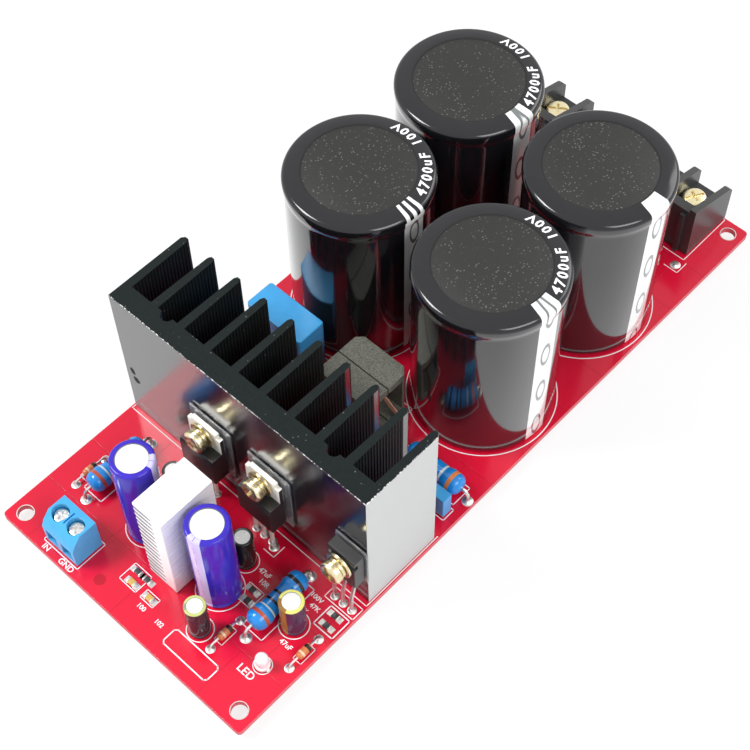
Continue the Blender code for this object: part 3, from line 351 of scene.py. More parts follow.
class Socket:
    """A shader socket that takes part in sums, products and limits."""

    def __init__(self, finish, socket):
        self.finish = finish
        self.socket = socket

    def maths(self, operation, *values):
        return self.finish.node(
            "Math", {"operation": operation}, dict(enumerate(values))
        )

    def __add__(self, other):
        return self.maths("ADD", self, other)

    def __radd__(self, other):
        return self.maths("ADD", other, self)

    def __sub__(self, other):
        return self.maths("SUBTRACT", self, other)

    def __rsub__(self, other):
        return self.maths("SUBTRACT", other, self)

    def __mul__(self, other):
        return self.maths("MULTIPLY", self, other)

    def __rmul__(self, other):
        return self.maths("MULTIPLY", other, self)

    def __truediv__(self, other):
        return self.maths("DIVIDE", self, other)

    def __neg__(self):
        return self.maths("MULTIPLY", self, -1.0)

    def __pow__(self, other):
        return self.maths("POWER", self, other)

    def __abs__(self):
        return self.maths("ABSOLUTE", self)

    def either(self, other):
        return self.maths("MAXIMUM", self, other)

    def repeat(self, length):
        """The distance to the nearest whole multiple of a length."""
        return self.maths("PINGPONG", self, length / 2)

    def step(self, low, high):
        """0 up to low, 1 from high on, or the other way round when low is the larger."""
        first, last = (1.0, 0.0) if low > high else (0.0, 1.0)
        inputs = {"Value": self, "From Min": min(low, high), "From Max": max(low, high)}
        inputs.update({"To Min": first, "To Max": last})
        return self.finish.node(
            "MapRange", {"interpolation_type": "SMOOTHSTEP"}, inputs
        )

    def greater(self, edge, soft=0.02):
        return self.step(edge - soft, edge + soft)

    def less(self, edge, soft=0.02):
        return self.step(edge + soft, edge - soft)

    def within(self, low, high, soft=0.02):
        return self.greater(low, soft) * self.less(high, soft)


def length_of(across, along):
    """The length of a line that runs so far across and so far along."""
    return (across ** 2 + along ** 2) ** 0.5


def rgba(colour):
    """A colour as a shader takes it. One that comes from a socket stays as it is."""
    return colour if isinstance(colour, Socket) else (*colour, 1.0)


class Nodes:
    """A node tree in the making."""

    def __init__(self, tree):
        self.tree = tree

    def node(self, kind, settings=None, inputs=None, output=0):
        made = self.tree.nodes.new("ShaderNode" + kind)
        for key, value in (settings or {}).items():
            setattr(made, key, value)
        for key, value in (inputs or {}).items():
            if isinstance(value, Socket):
                self.tree.links.new(value.socket, made.inputs[key])
            else:
                made.inputs[key].default_value = value
        return Socket(self, made.outputs[output])

    def looked_at(self):
        """1 for a ray from the camera, off a glossy surface or through a clear one."""
        camera, glossy, through = (
            self.node("LightPath", output="Is %s Ray" % kind)
            for kind in ("Camera", "Glossy", "Transmission")
        )
        return camera.either(glossy).either(through)

    def blend(self, share, first, second, output):
        """Sends two shaders to the output, the second with its share."""
        mixed = self.node("MixShader", None, {0: share, 1: first, 2: second})
        self.tree.links.new(mixed.socket, output)


class Finish(Nodes):
    """A material in the making, with its places in board millimetres."""

    def __init__(self, name, **constants):
        self.material = bpy.data.materials.new(name)
        self.material.use_nodes = True
        super().__init__(self.material.node_tree)
        self.shader = self.tree.nodes["Principled BSDF"]
        for socket, value in constants.items():
            self.shader.inputs[socket.replace("_", " ")].default_value = value
        where = self.node("TexCoord", output="Object")
        scale = (1000.0, 1000.0, 1000.0)
        corner = (WIDTH / 2, LENGTH / 2, 0.0)
        self.place = self.node(
            "VectorMath",
            {"operation": "MULTIPLY_ADD"},
            {0: where, 1: scale, 2: corner},
        )
        self.x, self.y, self.z = self.split(self.place)

    def split(self, vector):
        """X, Y and Z of a vector."""
        parts = self.tree.nodes.new("ShaderNodeSeparateXYZ")
        self.tree.links.new(vector.socket, parts.inputs[0])
        return [Socket(self, output) for output in parts.outputs]

    def normal(self):
        """X, Y and Z of the surface's direction."""
        return self.split(self.node("TexCoord", output="Normal"))

    def stretched(self, x, y, z):
        return self.node(
            "VectorMath", {"operation": "MULTIPLY"}, {0: self.place, 1: (x, y, z)}
        )

    def noise(self, scale, detail, place=None):
        inputs = {"Vector": place or self.place, "Scale": scale, "Detail": detail}
        return self.node("TexNoise", None, inputs)

    def cells(self, scale):
        inputs = {"Vector": self.place, "Scale": scale}
        return self.node("TexVoronoi", None, inputs, "Distance")

    def mix(self, mask, first, second, blend_type="MIX"):
        return self.node(
            "Mix",
            {"data_type": "RGBA", "blend_type": blend_type},
            {0: mask, 6: rgba(first), 7: rgba(second)},
            2,
        )

    def shade(self, colour, factor):
        """A colour made darker or lighter by a factor."""
        grey = self.node("CombineXYZ", None, {0: factor, 1: factor, 2: factor})
        return self.mix(1.0, colour, grey, "MULTIPLY")

    def feed(self, **sockets):
        for name, value in sockets.items():
            self.tree.links.new(value.socket, self.shader.inputs[name.replace("_", " ")])

    def relief(self, height, distance, strength=1.0):
        """The normal of a surface raised by a height of 0 to 1 times some millimetres."""
        inputs = {"Height": height, "Strength": strength, "Distance": distance / 1000}
        return self.node("Bump", None, inputs)

    def bump(self, height, distance, strength=1.0):
        self.feed(Normal=self.relief(height, distance, strength))
        return self

    def covered(self, share, second):
        """Lays a second shader over the first one, with its share."""
        first = Socket(self, self.shader.outputs[0])
        surface = self.tree.nodes["Material Output"].inputs["Surface"]
        self.blend(share, first, second, surface)
        return self


def plain(name, colour, roughness, grain, depth, spread=0.12, **constants):
    """An even finish with a fine grain, and with slight changes in its colour and its gloss."""
    finish = Finish(name, **constants)
    broad = finish.noise(grain * 0.12, 3.0)
    fine = finish.noise(grain, 2.0)
    finish.feed(
        Base_Color=finish.shade(colour, 1.0 - spread + 2 * spread * broad),
        Roughness=(roughness - 0.06) + 0.12 * fine,
    )
    return finish.bump(fine, depth).material


def board_finish():
    """Red mask over broad copper areas with thin gaps between them, and the cut edge."""
    finish = Finish("red_solder_mask", IOR=1.43)
    gaps = finish.node(
        "TexBrick",
        {"offset": 0.37, "squash": 0.6, "squash_frequency": 3},
        {
            "Vector": finish.place, "Scale": 1.0, "Mortar Size": 0.16, "Mortar Smooth": 0.3,
            "Brick Width": 23.0, "Row Height": 13.5,
        },
        "Fac",
    )
    cloud = finish.noise(0.03, 2.0)
    fine = finish.noise(5.0, 2.0)
    hole_x, hole_y = COVERED_HOLE
    covered = length_of(finish.x - hole_x, finish.y - hole_y).less(COVERED_RADIUS, 0.12)
    darker = (gaps * 0.40).either(covered * 0.9)
    red = finish.mix(darker, (0.66, 0.006, 0.034), (0.42, 0.002, 0.016))
    red = finish.shade(red, 0.84 + 0.32 * cloud)
    edge = abs(finish.normal()[2]).less(0.5)
    laminate = finish.mix(finish.noise(6.0, 3.0), (0.52, 0.03, 0.06), (0.66, 0.12, 0.14))
    finish.feed(
        Base_Color=finish.mix(edge, red, laminate), Roughness=0.12 + 0.08 * fine + 0.3 * edge
    )
    return finish.bump(0.85 - 0.8 * gaps + 0.15 * fine, 0.03, 0.6).material


# Bright metal of the heatsink's worn top edges, which also serves as a painted glint along them
EDGE_METAL_AND_GLINT = (0.75, 0.74, 0.72)


def sink_finish():
    """Black anodised extrusion: polished front, satin sides, sawn top and ribbed fins; the outer
    sides are painted pale grey as painted light, and the top edges show bare wear with painted
    glints.
    """
    finish = Finish("black_anodised", IOR=2.5)
    lines = finish.noise(1.0, 2.0, finish.stretched(5.0, 5.0, 0.05))
    cloud = finish.noise(0.06, 2.0)
    facing_x, facing_y, facing_z = finish.normal()
    sideways = abs(facing_x).greater(0.6)
    inside = finish.x.within(*SINK_INSIDE)
    fins = sideways * finish.y.greater(RIBS_FROM) * inside
    ribbed = fins * finish.y.less(RIBS_TO, 0.1).either(finish.x.less(SMOOTH_TIPS_FROM))
    ribs = ribbed * (finish.y.repeat(RIB_PITCH) * (2 / RIB_PITCH))
    # The outer sides: satin, and painted pale grey as painted light for the light they catch
    outer = sideways * (1.0 - inside)
    # Bare metal along the top edges, broken into dashes: partly real wear, partly a painted glint
    chips_and_glint_breaks = finish.noise(2.6, 3.0).greater(0.54, 0.05)
    under_top = SINK_TOP - finish.z
    front_rim = ((finish.y - SINK_FRONT) + under_top).less(0.15, 0.05)
    side_rim = ((SINK_RIGHT - finish.x) + under_top).less(0.18, 0.05)
    worn_edges_and_glints = front_rim.either(side_rim) * chips_and_glint_breaks
    ragged = finish.noise(1.6, 2.0)
    stained = 0.0
    for x, z, wide, high in STAINS:
        spread = ((finish.x - x) / wide) ** 2 + ((finish.z - z) / high) ** 2
        stained = (spread + ragged).less(1.35, 0.12).either(stained)
    stained = stained * (-facing_y).greater(0.6)
    # Black, with the outer sides painted pale grey: painted light, not a finish of their own
    black = finish.mix(outer, (0.008, 0.008, 0.010), (0.42, 0.425, 0.42))
    finish.feed(
        Base_Color=finish.mix(worn_edges_and_glints, black, EDGE_METAL_AND_GLINT),
        Roughness=0.09 + 0.07 * lines + 0.06 * cloud + 0.25 * outer,
    )
    finish.bump(lines * 0.25, 0.16, 0.35)
    saw = finish.noise(1.0, 3.0, finish.stretched(1.2, 9.0, 1.0))
    dark = finish.mix(saw, (0.004, 0.007, 0.007), (0.016, 0.020, 0.020))
    nicks = finish.cells(0.9).less(0.10, 0.03) * finish.noise(0.5, 2.0).greater(0.56, 0.05)
    dark = finish.mix(nicks, dark, (0.22, 0.23, 0.22))
    # The sawn top gets the same worn edges with their painted glint
    dark = finish.mix(worn_edges_and_glints, dark, EDGE_METAL_AND_GLINT)
    inputs = {
        "Base Color": finish.mix(ribs, dark, (0.001, 0.001, 0.001)),
        "Roughness": 0.42 + 0.2 * saw,
        "Normal": finish.relief(ribs, 0.22, 0.6),
        "IOR": 1.18,
    }
    sawn = finish.node("BsdfPrincipled", None, inputs)
    dulled = facing_z.greater(0.6).either(ribbed).either(stained)
    return finish.covered(dulled, sawn).material


def can_finish(
    name, middle, radius, top, sleeve, disc, disc_radius, stripe, rim=None, index=1.36, coat=0.0
):
    """A shrunk sleeve folded over the rim of a can, with a printed stripe down one side.

    The stripe gives its direction, half width and colour, its marks, and whether it is split
    into bars where it folds over the rim. The marks give their colour, their spacing, the
    height of the first one below the top, and their half width and half length.
    """
    turn, half, ground, marks, barred = stripe
    ink, spacing, first, mark_half, mark_length = marks
    finish = Finish(name, IOR=index)
    across, along = finish.x - middle[0], finish.y - middle[1]
    reach = length_of(across, along)
    scuffs = finish.noise(0.5, 3.0)
    specks = finish.cells(1.3).less(0.22, 0.05) * finish.noise(0.35, 3.0).greater(0.47, 0.08)
    on_top = finish.z.greater(top - 1.5)
    on_disc = reach.less(disc_radius, 0.08) * on_top
    # A thin ring round the disc where the sleeve folds into the lid: rougher, and painted dark as
    # painted shade in its groove
    seam_and_its_shade = abs(reach - disc_radius).less(radius * 0.014, radius * 0.006) * on_top
    folded = finish.z.greater(top - radius * 0.10, 0.05)
    colour = finish.shade(finish.mix(folded, sleeve, rim or sleeve), 0.8 + 0.4 * scuffs)
    cosine, sine = math.cos(math.radians(turn)), math.sin(math.radians(turn))
    ahead = along * sine + across * cosine
    aside = (along * cosine - across * sine) * radius / reach
    band = abs(aside).less(half, 0.06) * ahead.greater(0.0)
    if barred:
        bars = aside.repeat(half * 0.70).less(half * 0.17, 0.06)
        band = band * (1.0 - finish.z.greater(top - 2.0, 0.1) * (1.0 - bars))
    height = (finish.z - top + first).repeat(spacing)
    oval = length_of(aside / mark_half, height / mark_length)
    printed = finish.mix(oval.within(0.68, 1.0, 0.06), ground, ink)
    colour = finish.mix(band, colour, printed)
    speck = tuple(min(1.0, value * 4.0 + 0.07) for value in disc)
    # The groove's colour, a fifth of the disc's: painted shade
    groove = tuple(value * 0.2 for value in disc)
    colour = finish.mix(on_disc, colour, finish.mix(specks, disc, speck))
    finish.feed(
        Base_Color=finish.mix(seam_and_its_shade, colour, groove),
        Roughness=(0.08 + 0.08 * scuffs + 0.40 * on_disc).either(seam_and_its_shade * 0.8),
        Coat_Weight=coat * (1.0 - folded),
    )
    ripple = finish.noise(0.16, 2.0, finish.stretched(1.0, 1.0, 0.25))
    grain = finish.noise(2.6, 4.0)
    return finish.bump(ripple * 0.5 + on_disc * grain * 0.8, 0.14, 0.5).material


def banded_finish(name, axis, middle, base, bands, **constants):
    """A body with painted rings, each with its place along the axis, half width and colour."""
    finish = Finish(name, **constants)
    along = (finish.x if axis == "X" else finish.y) - middle
    colour = finish.shade(base, 0.85 + 0.3 * finish.noise(0.8, 2.0))
    for place, width, ink in bands:
        colour = finish.mix(abs(along - place).less(width, 0.05), colour, ink)
    dip = finish.noise(1.5, 2.0)
    finish.feed(Base_Color=colour, Roughness=0.12 + 0.12 * dip)
    return finish.bump(dip, 0.05, 0.5).material


def zinc_finish():
    """Yellowish plating, drawn along the height."""
    finish = Finish("zinc_plated_steel", Metallic=1.0)
    tint = finish.noise(0.9, 2.0)
    lines = finish.noise(1.0, 3.0, finish.stretched(4.0, 4.0, 14.0))
    finish.feed(
        Base_Color=finish.mix(tint, (0.72, 0.60, 0.32), (0.92, 0.84, 0.60)),
        Roughness=0.14 + 0.22 * lines,
    )
    return finish.bump(lines, 0.02).material


def tin_finish(name, dark, light, roughness, grain, metallic=1.0):
    """Tin or solder: cloudy, with a fine grain."""
    finish = Finish(name, Metallic=metallic)
    cloud = finish.noise(grain, 3.0)
    fine = finish.noise(grain * 6, 2.0)
    finish.feed(Base_Color=finish.mix(cloud, dark, light), Roughness=roughness + 0.18 * fine)
    return finish.bump(cloud * 0.5 + fine * 0.5, 0.03).material


def comb_finish():
    """Bright extruded aluminium with draw lines along its length, and painted shade between its
    teeth.
    """
    finish = Finish("bare_aluminium", Metallic=0.25)
    lines = finish.noise(1.0, 3.0, finish.stretched(6.0, 0.15, 6.0))
    _, facing_y, facing_z = finish.normal()
    sawn = abs(facing_y).greater(0.6)
    # The floors of the gaps between the teeth, painted darker as painted shade
    gaps = abs(facing_z).greater(0.6) * finish.z.less(SEAT + 30.0)
    bright = finish.mix(lines, (0.93, 0.93, 0.95), (0.97, 0.97, 0.97))
    finish.feed(
        Base_Color=finish.mix(gaps, bright, (0.30, 0.30, 0.32)),
        Roughness=0.22 + 0.14 * lines + 0.20 * sawn,
    )
    return finish.bump(lines, 0.03, 0.4).material


def ferrite_finish():
    """Dark grey, with a coarse grit."""
    finish = Finish("ferrite")
    grit = finish.noise(4.0, 4.0)
    finish.feed(
        Base_Color=finish.mix(grit.step(0.3, 0.7), (0.055, 0.057, 0.044), (0.18, 0.18, 0.15)),
        Roughness=0.42 + 0.2 * grit,
    )
    return finish.bump(grit, 0.12, 0.8).material


def winding_finish():
    """Enamelled wire wound close, turn against turn."""
    wire = 0.8
    finish = Finish("enamelled_copper", Metallic=0.5)
    # Painted shade: the wire is darker in the valleys between turns, and kept dark overall for the
    # shade inside the core
    turns = finish.y.repeat(wire) * (2 / wire)
    finish.feed(
        Base_Color=finish.mix(turns, (0.17, 0.06, 0.030), (0.06, 0.018, 0.009)),
        Roughness=0.22 + 0.2 * turns,
    )
    return finish.bump(1.0 - turns, 0.35).material


RED_MASK = board_finish()
ANODISED = sink_finish()
MOULDING = plain("black_moulding", (0.026, 0.026, 0.027), 0.32, 5.0, 0.02)
PACKAGE = plain("black_package", (0.014, 0.014, 0.015), 0.34, 7.0, 0.02)
BLUE_MOULDING = plain("blue_moulding", (0.050, 0.36, 0.68), 0.34, 4.0, 0.02)
BLUE_CASE = plain("blue_case", (0.043, 0.32, 0.66), 0.30, 3.0, 0.03)
INK = plain("print_ink", (0.86, 0.84, 0.86), 0.50, 6.0, 0.01, 0.05)
CHIP_DARK = plain("chip_black", (0.035, 0.040, 0.042), 0.35, 6.0, 0.01)
CHIP_TAN = plain("chip_tan", (0.55, 0.36, 0.08), 0.40, 6.0, 0.01)
FILM = plain(
    "insulating_film", (0.55, 0.56, 0.58), 0.12, 2.0, 0.03, 0.10, Transmission_Weight=0.80
)
RESIN = plain(
    "clear_resin", (0.97, 0.95, 0.97), 0.12, 2.0, 0.01, 0.02, Transmission_Weight=0.15, IOR=1.5
)
ZINC = zinc_finish()
TIN = tin_finish("tinned_lead", (0.62, 0.62, 0.61), (0.82, 0.81, 0.79), 0.20, 1.5)
NICKEL = tin_finish("tinned_brass", (0.66, 0.63, 0.58), (0.84, 0.80, 0.74), 0.24, 0.9)
# Tabs and legs of the power transistors: pale tin made nearly white and little metallic, a painted
# sheen for their bright reflection
TAB_AND_SHEEN = tin_finish("plated_tab_and_sheen", (0.90, 0.87, 0.78), (0.96, 0.94, 0.87), 0.36, 0.9, 0.20)
SOLDER = tin_finish("solder", (0.44, 0.43, 0.41), (0.80, 0.79, 0.76), 0.26, 1.8, 0.9)
COMB = comb_finish()
FERRITE = ferrite_finish()
COPPER = winding_finish()


# Large filter capacitors


def in_board(centre):
    return int(centre.z < SEAT - 0.05)


def on_pins(node, body, finish):
    """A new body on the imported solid's own pins."""
    pins = kept_side(node, (0, 0, SEAT), (0, 0, -1))
    return painted(joined([pins, body]), in_board, finish, TIN)


def rim_text(text, middle, radius, height, start_angle, size, step):
    """Letters that stand one after the other round a can's shoulder, read from outside."""
    letters = []
    for index, letter in enumerate(text):
        if letter == " ":
            continue
        angle = math.radians(start_angle + step * index)
        tilt = Matrix.Rotation(math.radians(RIM_SLOPE), 4, "X")
        turn = Matrix.Rotation(angle + math.pi / 2, 4, "Z")
        spot = (middle[0] + radius * math.cos(angle), middle[1] + radius * math.sin(angle), height)
        obj = lettering(letter, size, PRINT * 0.8, 0.09, 2)
        obj.data.transform(Matrix.Translation(spot) @ turn @ tilt)
        letters.append(obj)
    return joined(letters)


def arc(centre_radius, centre_height, radius, first, last, steps):
    """Points of a (radius, height) profile on an arc, with its angles in degrees."""
    points = []
    for index in range(steps + 1):
        angle = math.radians(first + (last - first) * index / steps)
        points.append(
            (centre_radius + radius * math.cos(angle), centre_height + radius * math.sin(angle))
        )
    return points


def big_can(middle):
    """The rim slopes gently, turns down sharply and overhangs the side by a little."""
    top, side, disc = CAN_TOP, CAN_RADIUS - 0.35, CAN_DISC
    profile = [(side - 0.6, SEAT)] + arc(side - 0.5, SEAT + 0.6, 0.5, -60, 0, 3)
    profile += [(side, top - 5.2), (side + 0.03, top - 4.5), (side + 0.14, top - 3.9)]
    profile += [(side + 0.29, top - 3.3), (CAN_RADIUS, top - 2.7)]
    profile += arc(CAN_RADIUS - RIM_ROUND, top - 1.75, RIM_ROUND, 0, 78, 7)
    profile += [(disc + 0.45, top), (disc + 0.1, top - 0.04), (disc - 0.05, top - 0.2)]
    profile += [(disc - 0.3, top - 0.22), (disc - 0.55, top - 0.12), (1.0, top - 0.10)]
    return turned(profile, (*middle, 0), 96)


BLACK_SLEEVE, BLACK_DISC = (0.008, 0.008, 0.010), (0.006, 0.0058, 0.005)
WHITE_PRINT, GREY_MARKS = (0.80, 0.81, 0.80), (0.16, 0.17, 0.17)
# Direction of each stripe, first mark below the top, whether barred, and where the value starts
STRIPES = (
    (-2.0, 7.0, True, 17.0),
    (-3.0, 2.6, False, 14.0),
    (-2.0, 3.2, False, 14.0),
    (-2.0, 7.0, False, None),
)
for (node, middle), (turn, first, barred, value_from) in zip(CAN_PLACES.items(), STRIPES):
    marks = (GREY_MARKS, 14.1, first, 1.55, 4.0)
    sleeve = can_finish(
        "black_sleeve_" + node.removeprefix("filter_capacitor_"), middle, CAN_RADIUS, CAN_TOP,
        BLACK_SLEEVE, BLACK_DISC, CAN_DISC, (turn, 2.95, WHITE_PRINT, marks, barred),
        index=1.5, coat=0.8,
    )
    can = on_pins(node, big_can(middle), sleeve)
    done(can, node + "_can", "board", nodes=[node])
    if value_from is not None:
        letters = rim_text(
            "4700uF 100V", middle, CAN_RADIUS - 2.3, CAN_TOP - 0.253, value_from, 3.35, 8.2
        )
        done(letters, node + "_value", "board", INK, smooth=0)


# Slim and small capacitors


def small_can(middle, radius, height):
    """A can with a bead near its foot, its sleeve folded over the rim of a sunk lid."""
    top = SEAT + height
    step = radius * 0.06
    profile = [(radius - step, SEAT)] + arc(radius - step, SEAT + step, step, -60, 0, 3)
    bead = SEAT + 4.4 * step
    profile += [(radius, bead - 1.3 * step), (radius - 0.6 * step, bead - 0.6 * step)]
    profile += [(radius - step, bead), (radius - 0.6 * step, bead + 0.6 * step)]
    profile += [(radius, bead + 1.3 * step), (radius, top - 2.2 * step)]
    profile += arc(radius - 2.2 * step, top - 2.2 * step, 2.2 * step, 10, 80, 5)
    inner = radius * 0.72
    profile += [(inner + step, top), (inner + 0.3 * step, top - 0.1 * step)]
    profile += [(inner, top - 0.9 * step), (inner - step, top - 0.8 * step)]
    profile += [(inner * 0.5, top - 0.7 * step)]
    return turned(profile, (*middle, 0))


def radial_capacitor(node, middle, radius, height, sleeve, slot, stripe, rim=None):
    """A small can on its pins, in its printed sleeve."""
    finish = can_finish(
        slot + "_" + node, middle, radius, SEAT + height, sleeve, WHITE_DISC, radius * 0.73,
        stripe, rim,
    )
    can = on_pins(node, small_can(middle, radius, height), finish)
    done(can, node + "_can", "board", nodes=[node])


VIOLET, VIOLET_MARKS = (0.040, 0.022, 0.42), (0.12, 0.08, 0.45)
WHITE_DISC = (0.80, 0.79, 0.76)
LAVENDER = (0.56, 0.52, 0.84)
DARK_MARKS = (0.05, 0.04, 0.05)
# Direction and half width of each stripe
SLIM_STRIPES = {"slim_capacitor_1": (35.0, 1.9), "slim_capacitor_2": (-82.0, 1.7)}
for node, middle in SLIM_PLACES.items():
    stripe = (*SLIM_STRIPES[node], LAVENDER, (VIOLET_MARKS, 5.0, 4.0, 0.12, 1.3), False)
    radial_capacitor(
        node, middle, SLIM_RADIUS, SLIM_HEIGHT, VIOLET, "violet_sleeve", stripe
    )
# Sleeve, direction, half width and colour of its stripe, and colour of its rim
SMALL_LOOKS = {
    "small_capacitor_left": (
        (0.030, 0.024, 0.034), (230.0, 0.9, (0.30, 0.30, 0.20)), (0.52, 0.58, 0.20)
    ),
    "small_capacitor_right": (
        (0.060, 0.030, 0.075), (-112.0, 1.9, (0.30, 0.15, 0.03)), (0.74, 0.72, 0.18)
    ),
    "small_capacitor_centre": ((0.012, 0.012, 0.012), (215.0, 0.7, (0.10, 0.10, 0.09)), None),
    "small_capacitor_rear": ((0.030, 0.030, 0.034), (100.0, 0.7, (0.30, 0.30, 0.30)), None),
}
for node, (x, y, radius, height) in SMALL_CANS.items():
    sleeve, stripe, rim = SMALL_LOOKS[node]
    stripe = (*stripe, (DARK_MARKS, 2.2, 2.0, 0.1, 0.6), False)
    radial_capacitor(node, (x, y), radius, height, sleeve, "dark_sleeve", stripe, rim)


# Resistors and diodes


def axial(node, middle, axis, height, profile, half, finish, sides):
    """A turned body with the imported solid's own bent leads on either side."""
    direction = Vector((1, 0, 0)) if axis == "X" else Vector((0, 1, 0))
    centre = Vector((*middle, height))
    pieces = []
    for sign in (-1, 1):
        cut_at = centre + direction * sign * (half + 0.02)
        pieces.append(kept_side(node, cut_at, direction * sign))
    pieces.append(turned(profile, centre, sides, axis))
    whole = joined(pieces)
    painted(
        whole, lambda point: int(abs((point - centre).dot(direction)) > half + 0.01), finish, TIN
    )
    done(whole, node + "_body", "board", nodes=[node], smooth=50)


BLUE_LACQUER, AMBER_GLASS = (0.012, 0.23, 0.64), (0.55, 0.16, 0.05)
DARK_BAND, RED_BAND, WHITE_BAND = (0.02, 0.01, 0.01), (0.42, 0.07, 0.03), (0.62, 0.68, 0.70)
ORANGE_BAND, CATHODE_BAND, SLUG = (0.70, 0.22, 0.05), (0.015, 0.012, 0.012), (0.75, 0.50, 0.34)
# Painted rings: place along the body, half width and colour
RESISTOR_BANDS = {
    "resistor_left": ((-5.6, 0.45, RED_BAND), (-3.6, 0.25, WHITE_BAND), (-1.6, 0.35, DARK_BAND),
                      (0.6, 0.35, DARK_BAND), (5.4, 0.45, DARK_BAND)),
    "resistor_middle": ((-5.4, 0.45, RED_BAND), (-3.3, 0.22, WHITE_BAND), (-1.4, 0.32, DARK_BAND),
                        (0.8, 0.32, DARK_BAND), (5.2, 0.45, DARK_BAND)),
    "resistor_right": ((5.4, 0.50, ORANGE_BAND), (2.6, 0.30, WHITE_BAND), (-0.6, 0.32, DARK_BAND),
                       (-2.4, 0.32, DARK_BAND), (-5.4, 0.45, DARK_BAND)),
}
DIODE_BANDS = ((1.15, 0.42, CATHODE_BAND), (-0.7, 0.25, SLUG))

end, inner_end = -RESISTOR_HALF, -RESISTOR_HALF + 4.8
dog_bone = [(0.75, end), (1.3, end + 0.08), (1.9, end + 0.35), (2.35, end + 0.85)]
dog_bone += [(2.6, end + 1.4), (2.7, end + 2.1), (2.7, inner_end - 1.1)]
dog_bone += [(2.62, inner_end - 0.6), (2.42, inner_end - 0.15), (2.3, inner_end + 0.3)]
dog_bone += [(radius, -height) for radius, height in reversed(dog_bone)]
for node, (x, y, axis) in RESISTORS.items():
    lacquer = banded_finish(
        "blue_lacquer_" + node, axis, x if axis == "X" else y, BLUE_LACQUER, RESISTOR_BANDS[node]
    )
    axial(node, (x, y), axis, TOP + 3.5, dog_bone, RESISTOR_HALF, lacquer, 40)

end = -DIODE_HALF
bead = [(0.35, end), (0.7, end + 0.12), (0.9, end + 0.4), (DIODE_RADIUS, end + 0.7)]
bead += [(radius, -height) for radius, height in reversed(bead)]
for node, (x, y) in DIODES.items():
    glass = banded_finish("diode_glass_" + node, "Y", y, AMBER_GLASS, DIODE_BANDS, IOR=1.5)
    height = TOP + DIODE_RADIUS + 0.3
    axial(node, (x, y), "Y", height, bead, DIODE_HALF, glass, 24)


# Indicator: a lens with a rim at its foot

lens_radius, rim_top = 1.5, SEAT + 1.0
profile = [(1.75, SEAT), (1.8, SEAT + 0.12), (1.8, SEAT + 0.9), (1.72, rim_top)]
profile += [(lens_radius, rim_top)] + arc(0.0, SEAT + 3.0, lens_radius, 0, 84, 9)
lens = on_pins("indicator_led", turned(profile, (*INDICATOR, 0), 32), RESIN)
done(lens, "indicator_lens", "board", nodes=["indicator_led"])


# Screws


def slotted(screw, middle, axis, reach, depth, height, turn):
    """A recess of two crossed slots, one of them long, cut into a screw's head."""
    slots = ((reach, 0.36, depth, 0.0), (reach * 0.62, 0.34, depth * 1.3, 90.0))
    cutters = []
    for length, width, cut_depth, angle in slots:
        cutter = block((-length, -width, -cut_depth), (length, width, 1.0))
        cutter.rotation_euler = (0, 0, math.radians(angle + turn))
        cutter.location = (0, 0, height)
        cutters.append(placed(applied(cutter), middle, axis))
    return carved(screw, *cutters)


def fixing_screw(node, middle, turn):
    """A pan-head screw with a spring washer and a flat washer held on it."""
    gap, washer, groove, spring = 0.3, 0.6, 0.2, 0.8
    head = gap + washer + groove + spring + groove
    top = head + 1.8
    profile = [(1.35, -7.2), (1.45, -6.9), (1.45, 0.3), (3.3, 0.3), (3.4, 0.38), (3.4, 0.82)]
    profile += [(3.3, 0.9), (1.74, 0.9), (1.74, 1.1), (2.5, 1.1), (2.6, 1.2), (2.6, 1.8)]
    profile += [(2.5, 1.9), (1.74, 1.9), (1.74, head), (2.7, head), (2.8, head + 0.1)]
    profile += [(2.8, head + 0.75)] + arc(1.9, head + 0.9, 0.9, 0, 80, 6) + [(0.6, top)]
    screw = turned(profile, middle, 40, "-Y")
    screw = slotted(screw, middle, "-Y", 2.4, 0.8, top, turn)
    done(screw, node + "_metal", "board", ZINC, [node])


for number, (x, z, thickness, turn) in enumerate(FIXINGS, 1):
    face = SINK_FRONT - PAD_WITH_GAPS - thickness
    fixing_screw("fixing_screw_%d" % number, (x, face, z), turn)

clamp_top = 2.1
profile = [(1.5, -3.6), (1.7, -3.3), (1.7, 0.0), (3.1, 0.0), (3.2, 0.1), (3.2, 1.15)]
profile += arc(2.25, 1.15, 0.95, 0, 82, 7) + [(0.7, clamp_top)]
for key, turn in BARRIER_TURNS.items():
    side, way = key.split("_")
    x = BARRIER_LEFTS[side] + BARRIER_DIVIDER / 2 + BARRIER_PITCH * (int(way) - 0.5)
    washer_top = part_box("barrier_washer_" + key)[1].z * 1000
    middle = (x, BARRIER_SCREWS_Y, washer_top + 0.3)
    screw = slotted(turned(profile, middle, 40), middle, "Z", 2.6, 0.8, clamp_top, turn)
    body = "barrier_screw_" + key
    done(screw, "clamp_screw_" + key, body, ZINC, [body])
    body = "barrier_washer_" + key
    washer = rounded(solid_copy(body), 0.12)
    done(washer, "clamp_washer_" + key, body, ZINC, [body])

for number, turn in ((1, 15.0), (2, 40.0)):
    low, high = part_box("input_screw_%d" % number)
    middle = ((low.x + high.x) * 500 + WIDTH / 2, (low.y + high.y) * 500 + LENGTH / 2, 0)
    foot, neck, top = low.z * 1000, high.z * 1000 - 1.4, high.z * 1000 - 0.7
    profile = [(1.05, foot), (1.2, foot + 0.2), (1.2, neck), (1.75, neck), (1.8, neck + 0.1)]
    profile += [(1.8, top - 0.2), (1.7, top - 0.05), (1.55, top), (0.5, top)]
    screw = slotted(turned(profile, middle, 32), middle, "Z", 2.0, 0.4, top, turn)
    body = "input_screw_%d" % number
    done(screw, "terminal_screw_%d" % number, body, TIN, [body])


# Moulded, cast and folded pieces keep the solid's shape and get rounded edges


def above(level):
    return lambda middle: middle.z > level


